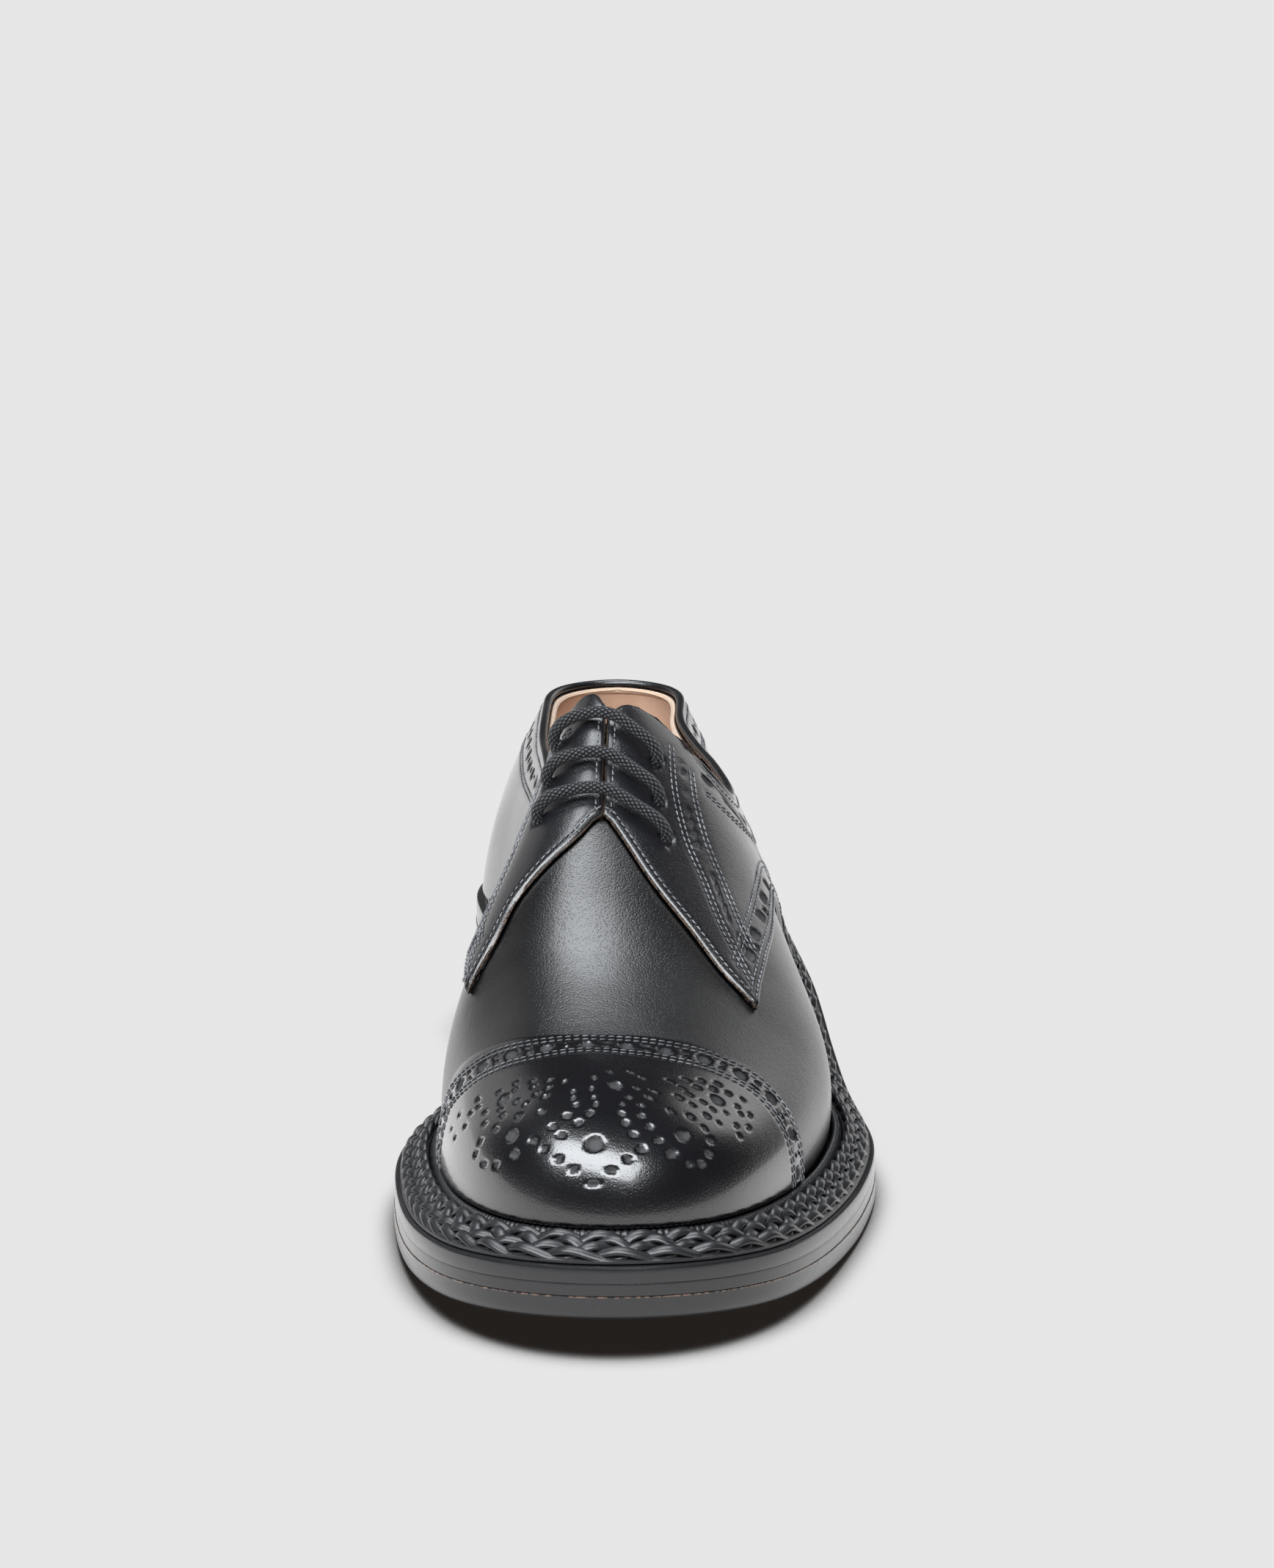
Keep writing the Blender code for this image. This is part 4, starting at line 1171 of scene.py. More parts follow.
@dataclass(frozen=True)
class Calf:
    """Polished calf: a near-black ground, fine grain, a waxed surface and dark punched holes."""

    name: str
    ground: Colour = (0.0024, 0.0024, 0.0036, 1.0)
    bloom: Colour = (0.0046, 0.0046, 0.0068, 1.0)
    floor: Colour = (0.0260, 0.0250, 0.0270, 1.0)
    raw: Colour = (0.1300, 0.0900, 0.0650, 1.0)
    roughness: float = 0.30
    coat: float = 0.35
    coat_roughness: float = 0.16
    specular: float = 0.80
    grain: float = 0.000052

    def material(self) -> bpy.types.Material:
        """Returns the finish as a material."""

        def paint(bench: Bench) -> dict[str, object]:
            pit, rim = bench.attribute("pit"), bench.attribute("rim")
            cloud = bench.noise(38.0, 4.0).between(0.35, 0.75)
            colour = bench.mix(cloud * 0.7, self.ground, self.bloom)
            speckle = bench.noise(1300.0, 2.0).between(0.30, 0.65)
            colour = bench.mix(rim.between(0.35, 0.95) * speckle * 0.85, colour, self.raw)
            colour = bench.mix(pit, colour, self.floor)
            pores = bench.cells(1500.0).between(0.05, 0.55)
            fine = bench.noise(2600.0, 2.0)
            height = pores * 0.6 + fine * 0.8 + bench.noise(420.0, 3.0) * 0.9
            dull = pit.between(0.02, 0.40)
            rough = self.roughness + cloud * 0.06 + (fine - 0.5) * 0.10 + dull * 0.45
            return {
                "Base Color": colour,
                "Roughness": rough,
                "Specular IOR Level": self.specular,
                "Coat Weight": self.coat - dull * self.coat,
                "Coat Roughness": self.coat_roughness,
                "Normal": bench.bump(height, self.grain),
            }

        return shade(self.name, paint)


@dataclass(frozen=True)
class Suede:
    """Natural lining leather with a soft nap, paler and fuzzier at its top edge."""

    name: str
    ground: Colour = (0.560, 0.360, 0.245, 1.0)
    worn: Colour = (0.660, 0.460, 0.335, 1.0)
    edge: Colour = (0.520, 0.395, 0.295, 1.0)

    def material(self) -> bpy.types.Material:
        """Returns the finish as a material."""

        def paint(bench: Bench) -> dict[str, object]:
            cloud = bench.noise(90.0, 5.0).between(0.3, 0.7)
            fuzz = bench.noise(1900.0, 4.0, 0.7)
            rim = bench.attribute("rim").between(0.02, 0.5)
            colour = bench.mix(cloud, self.ground, self.worn)
            colour = bench.mix(rim * (0.55 + fuzz * 0.6), colour, self.edge)
            return {
                "Base Color": colour,
                "Roughness": 0.86,
                "Specular IOR Level": 0.25,
                "Sheen Weight": 0.25,
                "Sheen Roughness": 0.5,
                "Normal": bench.bump(fuzz + cloud * 0.5, 0.00016),
            }

        return shade(self.name, paint)


@dataclass(frozen=True)
class Waxed:
    """Waxed and inked leather of the sole's edge, heel, rand and plait."""

    name: str
    ground: Colour = (0.0130, 0.0130, 0.0145, 1.0)
    worn: Colour = (0.0420, 0.0380, 0.0370, 1.0)
    roughness: float = 0.30
    coat: float = 0.25
    specular: float = 0.60
    fibre: float = 0.00005
    wear: float = 0.5
    raw: Colour = (0.1500, 0.0950, 0.0700, 1.0)

    def material(self) -> bpy.types.Material:
        """Returns the finish as a material."""

        def paint(bench: Bench) -> dict[str, object]:
            place = bench.add("ShaderNodeTexCoord", out="Object")
            drawn = bench.add(
                "ShaderNodeMapping", sockets={"Vector": place, "Scale": (260.0, 260.0, 1500.0)}
            )
            sockets = {"Vector": drawn, "Scale": 1.0, "Detail": 4.0}
            fibres = bench.add("ShaderNodeTexNoise", sockets=sockets)
            spots = bench.noise(520.0, 4.0).between(0.56, 0.78)
            colour = bench.mix(spots * self.wear, self.ground, self.worn)
            joint = bench.attribute("joint") * bench.noise(900.0, 2.0).between(0.40, 0.62)
            colour = bench.mix(joint, colour, self.raw)
            return {
                "Base Color": colour,
                "Roughness": self.roughness + (fibres - 0.5) * 0.16,
                "Specular IOR Level": self.specular,
                "Coat Weight": self.coat,
                "Coat Roughness": 0.25,
                "Normal": bench.bump(fibres + bench.noise(1500.0, 2.0) * 0.5, self.fibre),
            }

        return shade(self.name, paint)


@dataclass(frozen=True)
class Plain:
    """Thread, rubber and other plain stuff with a fine tooth."""

    name: str
    ground: Colour
    worn: Colour
    roughness: float = 0.6
    specular: float = 0.45
    tooth: float = 0.00008
    scale: float = 1600.0

    def material(self) -> bpy.types.Material:
        """Returns the finish as a material."""

        def paint(bench: Bench) -> dict[str, object]:
            grit = bench.noise(self.scale, 3.0, 0.6)
            cloud = bench.noise(140.0, 3.0).between(0.35, 0.7)
            return {
                "Base Color": bench.mix(cloud, self.ground, self.worn),
                "Roughness": self.roughness + (grit - 0.5) * 0.2,
                "Specular IOR Level": self.specular,
                "Normal": bench.bump(grit, self.tooth),
            }

        return shade(self.name, paint)


@dataclass(frozen=True)
class Braided:
    """A round braided cord, its plait drawn on the piece's own chart: along, then round, with
    painted highlights on the strands' crowns and painted shade in the grooves.
    """

    name: str
    turns: float
    strands: int = 8
    # ground is the cord's own black, which the weave also lays in the grooves as painted shade; lit
    # is a painted highlight colour for the strands' crowns
    ground: Colour = (0.0010, 0.0010, 0.0014, 1.0)
    lit: Colour = (0.0620, 0.0630, 0.0720, 1.0)

    def material(self) -> bpy.types.Material:
        """Returns the finish as a material."""

        def paint(bench: Bench) -> dict[str, object]:
            chart = bench.add("ShaderNodeUVMap", {"uv_map": "UVMap"})
            along, round_cord, _ = bench.axes(chart)
            run = along * (2 * math.pi * self.turns)
            ring = round_cord * (math.pi * self.strands)
            weave = ((ring + run).sine().size() * (ring - run).sine().size()) ** 0.5
            fibre = bench.noise(2400.0, 2.0)
            return {
                # Painted light: the weave mixes the painted highlight onto the strands' crowns and
                # the black, as painted shade, into the grooves.
                "Base Color": bench.mix(weave.between(0.50, 1.0), self.ground, self.lit),
                "Roughness": 0.55 - weave * 0.15 + (fibre - 0.5) * 0.2,
                "Specular IOR Level": 0.4,
                "Sheen Weight": 0.04,
                "Normal": bench.bump(weave + fibre * 0.12, 0.00055),
            }

        return shade(self.name, paint)


class Pieces:
    """Hands each finished piece to the frame and reports it."""

    log = logging.getLogger("brogue")

    @classmethod
    def hand_over(
        cls,
        obj: bpy.types.Object,
        finish: bpy.types.Material,
        slot: str,
        stands_for: Sequence[str] = (),
    ) -> bpy.types.Object:
        """Dresses a piece and lets it ride on the shoe.

        Args:
            obj: The piece.
            finish: Its material.
            slot: Not used.
            stands_for: The solids that it replaces.

        Returns:
            The piece.
        """
        obj.data.materials.clear()
        obj.data.materials.append(finish)
        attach(obj, "root")
        if stands_for:
            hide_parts(*stands_for)
        triangles = sum(len(face.vertices) - 2 for face in obj.data.polygons)
        cls.log.info("%s: %d triangles", obj.name, triangles)
        return obj


def crowded(share: np.ndarray, near: np.ndarray | float, rows: int, lines: int = 5) -> np.ndarray:
    """Draws rows together within a small share of each end, where an edge is rolled."""
    part = lines / rows
    near = np.minimum(near, part)
    knee_low = share / part * near
    knee_high = 1 - (1 - share) / part * near
    middle = near + (share - part) / (1 - 2 * part) * (1 - 2 * near)
    return np.where(share < part, knee_low, np.where(share > 1 - part, knee_high, middle))


def eyelet(side: Side, along: float, setback: float) -> tuple[float, float]:
    """Returns (along, up) of an eyelet a setback away from the facing's edge."""
    up = np.linspace(1.0, 0.3, 141)
    reach = arc(LAST.surface(side, np.full(141, along), up))
    return along, float(np.interp(setback, reach, up))


@dataclass
class Upper:
    """The vamp and lining, the toe cap, both quarters, the back strip, binding and tongue."""

    wall: float = 0.0018
    lining: float = 0.0007
    panel: float = 0.0014
    gap: float = 0.0004
    strip: float = 0.0010
    strip_width: float = 0.0150
    tongue: float = 0.0016
    rand_height: float = 0.0052
    welt_clearance: float = 0.0005
    welt_start: Pair = (0.215, 0.250)
    foot_gap: float = 0.004
    lining_gap: float = 0.0002
    lining_foot: float = 0.02
    lining_slit: float = 0.985
    slit_start: float = 0.48
    girth: float = 0.105
    flexing_line: float = -0.050
    crease_foot: Pair = (0.035, 0.055)
    edge_rows: tuple[float, ...] = (0.0013, 0.0028)
    band_holes: float = 0.0052
    band_rows: tuple[float, ...] = (0.0076, 0.0091)
    hole_pitch: float = 0.0094
    pin_offset: float = 0.0011
    pin_pitch: float = 0.0032
    rim_row: float = 0.0018
    row_pair: float = 0.0014
    stay_pins: float = 0.0040
    stay_second: float = 0.0066
    collar_rows: tuple[float, ...] = (0.0026, 0.0112, 0.0126)
    collar_holes: float = 0.0068
    slit_from: float = 0.509
    tongue_from: float = 0.492
    fine: float = 0.0012
    toe_centre: float = 0.515
    toe_shift: float = -0.0027
    lean: float = 0.36
    lean_from: float = -0.0011
    thread: Thread = field(default_factory=Thread)

    def __post_init__(self) -> None:
        """Works out the height of the panels' outside and the finishes."""
        self.skin_height = self.wall + self.gap + self.panel
        self.vamp_calf = Calf("calf_vamp", roughness=0.34, coat=0.15, specular=1.0).material()
        self.cap_calf = Calf(
            "calf_cap", roughness=0.25, coat=0.6, coat_roughness=0.11, grain=0.00003
        ).material()
        self.quarter_calf = Calf("calf_quarter", roughness=0.30, coat=0.35).material()
        self.suede = Suede("natural_lining").material()
        self.cotton = Plain(
            "waxed_thread", (0.070, 0.071, 0.078, 1.0), (0.190, 0.192, 0.205, 1.0), 0.38, 0.70
        ).material()

    def above_welt(self, side: Side, along: np.ndarray) -> np.ndarray:
        """Returns how far up a panel starts, to stay clear of the rand."""
        clear = LAST.up_at(side, along, self.rand_height + self.welt_clearance)
        return clear * smooth(np.asarray(along), *self.welt_start) + self.foot_gap

    def build(self) -> None:
        """Builds every piece of the upper."""
        self.build_vamp()
        self.build_cap()
        for side in Side:
            self.build_quarter(side)
        self.build_back_strip()
        self.build_binding()
        self.build_tongue()

    def full_patch(
        self, side: Side, columns: int, rows: int, low: float = 0.0, slit: float = 1.0
    ) -> Patch:
        """Returns the patch that covers one whole side of the last."""

        def spread(u: np.ndarray, v: np.ndarray) -> tuple[np.ndarray, np.ndarray]:
            along = LAST.round_to_along(u)
            inside = np.where((along > self.slit_start) & (along < LAST.throat), slit, 1.0)
            return along, low + (LAST.top_edge(side, along) * inside - low) * v

        return Patch(side, columns, rows, spread)

    def creases(self, points: np.ndarray) -> np.ndarray:
        """Returns the soft troughs and ridges of the vamp's flexing line, in metres."""
        folds = (
            # height, place behind the flexing line, slant across, half width
            (0.00009, -0.003, 0.0, 0.0080),
            (-0.00010, -0.004, -0.06, 0.0045),
            (-0.00007, 0.010, 0.06, 0.0050),
        )
        back, rise = points[:, 1] - self.flexing_line, np.zeros(len(points))
        for height, place, slant, wide in folds:
            gone = back - place - slant * points[:, 0]
            rise += height * np.exp(-((gone / wide) ** 2))
        return rise * smooth(points[:, 2], *self.crease_foot)

    def build_vamp(self) -> None:
        """Builds the black outside of the upper and its natural lining."""
        stock = Stock()
        for side in Side:
            self.punch_eyelets(stock, side, self.wall, radius=0.0019, depth=0.0010)
        patches = [self.full_patch(side, 210, 60) for side in Side]
        thick = self.wall - self.lining - self.lining_gap
        vamp = Sheet("vamp", patches, self.wall, thick, stock, roll=0.0006, swell=self.creases)
        Pieces.hand_over(vamp.build(), self.vamp_calf, "upper", ["upper"])
        patches = [
            self.full_patch(side, 150, 40, self.lining_foot, self.lining_slit) for side in Side
        ]
        lining = Sheet("lining", patches, self.lining, self.lining, roll=0.0005)
        Pieces.hand_over(lining.build(), self.suede, "insole")

    def cap_edge(self, height: float) -> Run:
        """Returns the cap's back edge from the outer side over the ridge to the inner side."""
        halves = []
        for side in Side:
            seam = through(CAP_SEAM[side])
            up = np.linspace(0.07, 1.0, 260)
            halves.append(LAST.surface(side, seam(up), up))
        return SKIN.lay(np.vstack([halves[0], halves[1][::-1][1:]]), height)

    def medallion(self) -> list[tuple[np.ndarray, float]]:
        """Returns the medallion's holes on the cap's toe, each with its radius."""
        centre = LAST.surface(Side.LATERAL, np.array(1.0), np.array(self.toe_centre))
        centre = centre + np.array([self.toe_shift, 0.0, 0.0])
        centre = SKIN.lay(centre[None, :], self.skin_height).points[0]
        eye = np.array([0.0, -Studio.camera_back, Studio.camera_height])
        view = unit(centre - eye)
        raised = unit(np.cross(np.array([1.0, 0.0, 0.0]), view))
        spots = []
        for across, up, punch in MEDALLION:
            axis = self.lean * max(0.0, up * MM - self.lean_from)
            for way in (1, -1) if across else (1,):
                sideways = np.array([way * across * MM + axis, 0.0, 0.0])
                chart = centre + sideways + up * MM * raised
                ray, aim, laid = unit(chart - eye), chart.copy(), None
                for _ in range(5):
                    hit = SKIN.seen(aim - ray * 0.2, ray)
                    if hit is None:
                        laid = None
                        break
                    laid = SKIN.lay(hit[None, :], self.skin_height).points[0]
                    gone = laid - chart
                    aim = aim - (gone - ray * np.dot(gone, ray))
                if laid is not None:
                    spots.append((laid, punch.value))
        return spots

    def build_cap(self) -> None:
        """Builds the toe cap with its medallion, its punched band and its rows of stitches."""
        edge = self.cap_edge(self.skin_height)
        stock, rows = Stock(), []
        for spot, radius in self.medallion():
            stock.punch([spot], radius)
        for distance in (*self.edge_rows, *self.band_rows):
            rows.append(SKIN.beside(edge, distance, self.skin_height))
            stock.press(rows[-1])
        self.punch_band(stock, edge, 1.0)
        patches = []
        for side in Side:
            seam = through(CAP_SEAM[side])

            def spread(
                u: np.ndarray, v: np.ndarray, side: Side = side, seam: Callable = seam
            ) -> tuple[np.ndarray, np.ndarray]:
                begin = LAST.along_to_round(seam(np.maximum(v, 0.02)))
                wide = (1 - begin) * LAST.way_round(Side.LATERAL)
                gone = crowded(u, self.fine / wide, 84)
                gone = np.where(u > 0.5, u, gone)
                along = LAST.round_to_along(begin + (1 - begin) * gone)
                low = self.above_welt(side, along)
                return along, low + (1 - low) * v

            patches.append(Patch(side, 84, 84, spread))
        cap = Sheet("toe_cap_leather", patches, self.skin_height, self.panel, stock, roll=0.0010)
        Pieces.hand_over(cap.build(), self.cap_calf, "toe_cap", ["toe_cap"])
        sewn = self.thread.sew("toe_cap_stitches", rows)
        Pieces.hand_over(sewn, self.cotton, "toe_cap")

    @staticmethod
    def punch_eyelets(stock: Stock, side: Side, height: float, radius: float, depth: float) -> None:
        """Punches one side's eyelets through a sheet at a height."""
        for along, setback in EYELETS[side]:
            spot = (np.array([share]) for share in eyelet(side, along, setback))
            stock.punch(SKIN.lay(LAST.surface(side, *spot), height).points, radius, depth)

    def punch_band(self, stock: Stock, edge: Run, way: float) -> None:
        """Punches a band beside an edge: large holes with pairs of pinholes between them."""
        height = self.skin_height
        middle = SKIN.beside(edge, way * self.band_holes, height).stepped(self.hole_pitch, 0.005)
        stock.punch(middle.points, Punch.LARGE.value)
        for offset in (-self.pin_offset, self.pin_offset):
            line = SKIN.beside(edge, way * (self.band_holes + offset), height)
            line = line.stepped(self.hole_pitch, 0.005).points
            stock.punch((line[1:] + line[:-1]) / 2, Punch.PIN.value)

    def brogue_quarter(self, side: Side) -> tuple[Stock, list[Run]]:
        """Returns what one quarter carries: its holes and seams, and its rows of stitches."""
        height, way = self.skin_height, side.value
        stock, rows = Stock(), []
        along = np.linspace(self.slit_from, LAST.throat, 60)
        slit = SKIN.lay(LAST.surface(side, along, LAST.slit_up(along)), height)
        flap = SKIN.trace(side, FACING_EDGE[side], height)
        rim = Run(np.vstack([slit.points, flap.points]), np.vstack([slit.normals, flap.normals]))
        rim = rim.stepped(0.5 * MM)
        row = SKIN.beside(rim, way * self.rim_row, height)
        rows.append(row.part(0.002, rim.length - 0.003))
        low = SKIN.trace(side, QUARTER_FOOT[side], height).stepped(0.5 * MM)
        for distance in (*self.edge_rows, *self.band_rows):
            line = SKIN.beside(low, -way * distance, height)
            rows.append(line.part(0.006, line.length - 1.15 * distance - 0.001))
        self.punch_band(stock, low.part(0.006, low.length - 0.012), -way)
        stay = SKIN.trace(side, EYESTAY[side], height).stepped(0.5 * MM)
        rows += [stay, SKIN.beside(stay, way * self.row_pair, height)]
        strip = SKIN.beside(stay, way * self.stay_pins, height).part(0.004, stay.length - 0.012)
        stock.punch(strip.stepped(self.pin_pitch).points, Punch.PIN.value)
        second = SKIN.beside(stay, way * self.stay_second, height)
        second = second.part(0.004, stay.length - 0.013)
        rows += [second, SKIN.beside(second, way * self.row_pair, height)]
        back = np.linspace(0.02, 0.47, 200)
        collar = SKIN.lay(LAST.surface(side, back, LAST.top_edge(side, back)), height)
        collar = collar.stepped(0.5 * MM)
        for distance in self.collar_rows:
            rows.append(SKIN.beside(collar, way * distance, height).part(0.006, 1.0))
        band = SKIN.beside(collar, way * self.collar_holes, height).part(0.008, 1.0)
        large = band.stepped(self.hole_pitch).points
        stock.punch(large, Punch.LARGE.value)
        stock.punch((large[1:] + large[:-1]) / 2, Punch.PIN.value)
        self.punch_eyelets(stock, side, height, radius=0.00185, depth=0.0014)
        for row in rows:
            stock.press(row)
        return stock, rows

    def build_quarter(self, side: Side) -> None:
        """Builds one quarter with its facing, broguing and stitches."""
        height = self.skin_height
        stock, rows = self.brogue_quarter(side)
        front, foot = FACING_EDGE[side], QUARTER_FOOT[side]
        start = 0.0003 / LAST.feather[side][:, 1].max()
        stop = LAST.along_to_round(front[-1][0])
        front_line = through(front)
        foot_line = through(foot)

        def spread(u: np.ndarray, v: np.ndarray) -> tuple[np.ndarray, np.ndarray]:
            along = LAST.round_to_along(start + (stop - start) * u)
            top = np.where(
                along < LAST.throat,
                np.minimum(LAST.top_edge(side, along), LAST.slit_up(along)),
                front_line(along),
            )
            base = np.where(along < foot[0][0], 0.0, foot_line(along))
            base = np.minimum(np.maximum(base, self.above_welt(side, along)), top)
            wide = np.maximum((top - base) * self.girth, 1e-4)
            return along, base + (top - base) * crowded(v, self.fine / wide, 64)

        name = "quarter_lateral" if side is Side.LATERAL else "quarter_medial"
        patches = [Patch(side, 170, 64, spread)]
        sheet = Sheet(f"{name}_leather", patches, height, self.panel, stock, roll=0.0011)
        Pieces.hand_over(sheet.build(), self.quarter_calf, name, [name])
        Pieces.hand_over(self.thread.sew(f"{name}_stitches", rows), self.cotton, name)

    def build_back_strip(self) -> None:
        """Builds the strip over the back seam, with ears that widen under the collar."""
        height = self.skin_height + self.gap + self.strip
        half = steady([0.0, 0.45, 0.75, 1.0], [0.45, 0.40, 0.60, 1.0])
        patches = []
        for side in Side:

            def spread(
                u: np.ndarray, v: np.ndarray, side: Side = side
            ) -> tuple[np.ndarray, np.ndarray]:
                share = u * half(v) * self.strip_width / LAST.way_round(side)
                along = LAST.round_to_along(share)
                low, high = self.above_welt(side, along), LAST.top_edge(side, along)
                return along, low + (high - low) * v

            patches.append(Patch(side, 14, 60, spread))
        strip = Sheet("back_strip_leather", patches, height, self.strip, roll=0.0008)
        Pieces.hand_over(strip.build(), self.quarter_calf, "back_strip", ["back_strip"])
        rows = []
        for side in Side:
            up_share = np.linspace(0.05, 0.97, 120)
            reach = half(up_share) * self.strip_width - self.row_pair
            along = LAST.round_to_along(reach / LAST.way_round(side))
            low, high = self.above_welt(side, along), LAST.top_edge(side, along)
            points = LAST.surface(side, along, low + (high - low) * up_share)
            rows.append(SKIN.lay(points, height))
        Pieces.hand_over(self.thread.sew("back_strip_stitches", rows), self.cotton, "back_strip")

    def build_binding(self) -> None:
        """Builds the rolled black binding round the collar and the lining's edge inside it."""
        binding = self.collar_roll(
            "collar_binding", out=0.0028, wide=0.0012, high=0.0011, drop=0.0
        )
        mark(binding, "rim", np.zeros(len(binding.data.vertices)))
        Pieces.hand_over(binding, self.quarter_calf, "upper")
        fleece = self.collar_roll("lining_edge", out=0.0009, wide=0.0010, high=0.0008, drop=0.0011)
        mark(fleece, "rim", np.ones(len(fleece.data.vertices)))
        Pieces.hand_over(fleece, self.suede, "insole")

    def collar_roll(
        self, name: str, out: float, wide: float, high: float, drop: float
    ) -> bpy.types.Object:
        """Rolls a strip along the topline from facing to facing.

        Args:
            name: The piece's name.
            out: How far outside the last its middle lies.
            wide: Half its width through the leather.
            high: Half its height.
            drop: How far below the topline it lies.

        Returns:
            The closed roll.
        """
        halves = []
        for side in Side:
            along = np.concatenate([np.linspace(0.0, 0.40, 160), np.linspace(0.403, 0.475, 80)])
            halves.append(LAST.surface(side, along, LAST.top_edge(side, along)))
        path = SKIN.lay(np.vstack([halves[0][::-1], halves[1][1:]]), 0.0).stepped(0.9 * MM)
        normals = unit(evened(path.normals, bell(7)))
        path = Run(evened(path.points, bell(7)) + normals * out, normals)
        climb = unit(np.cross(path.normals, path.ahead()))
        climb *= np.sign(climb[:, 2:3] + 1e-9)
        run = arc(path.points)
        taper = 0.35 + 0.65 * smooth(np.minimum(run, run[-1] - run), 0.0, 0.012)
        count = len(path.points) - 1

        def place(u: np.ndarray, v: np.ndarray) -> np.ndarray:
            row, turn = np.rint(u * count).astype(int), v * 2 * math.pi
            across = (wide * taper[row] * np.cos(turn))[:, None]
            rise = (high * taper[row] * np.sin(turn))[:, None]
            return path.points[row] + path.normals[row] * across + climb[row] * (rise - drop)

        roll = loft(name, count, 16, place)
        close_ends(roll)
        round_off(roll)
        mark(roll, "pit", np.zeros(len(roll.data.vertices)))
        return roll

    def build_tongue(self) -> None:
        """Builds the tongue under the facings, its front drawn up to the vamp."""
        drop, fit = 0.0051, 0.0003
        sewn_end, free_end = 0.665, LAST.throat
        reach = LAST.surface(Side.LATERAL, np.array([sewn_end, free_end]), np.ones(2))[:, 1]
        ease = steady([float(reach[0]), float(reach[1])], [0.0, 1.0])
        patches = []
        for side in Side:

            def spread(u: np.ndarray, v: np.ndarray) -> tuple[np.ndarray, np.ndarray]:
                return self.tongue_from + (sewn_end - self.tongue_from) * u, 0.66 + 0.34 * v

            patches.append(Patch(side, 46, 30, spread))

        def sink(points: np.ndarray) -> np.ndarray:
            return -(fit + (drop - fit) * ease(points[:, 1]))

        sheet = Sheet("tongue_leather", patches, 0.0, self.tongue, roll=0.0008, swell=sink)
        Pieces.hand_over(sheet.build(), self.vamp_calf, "tongue", ["tongue"])


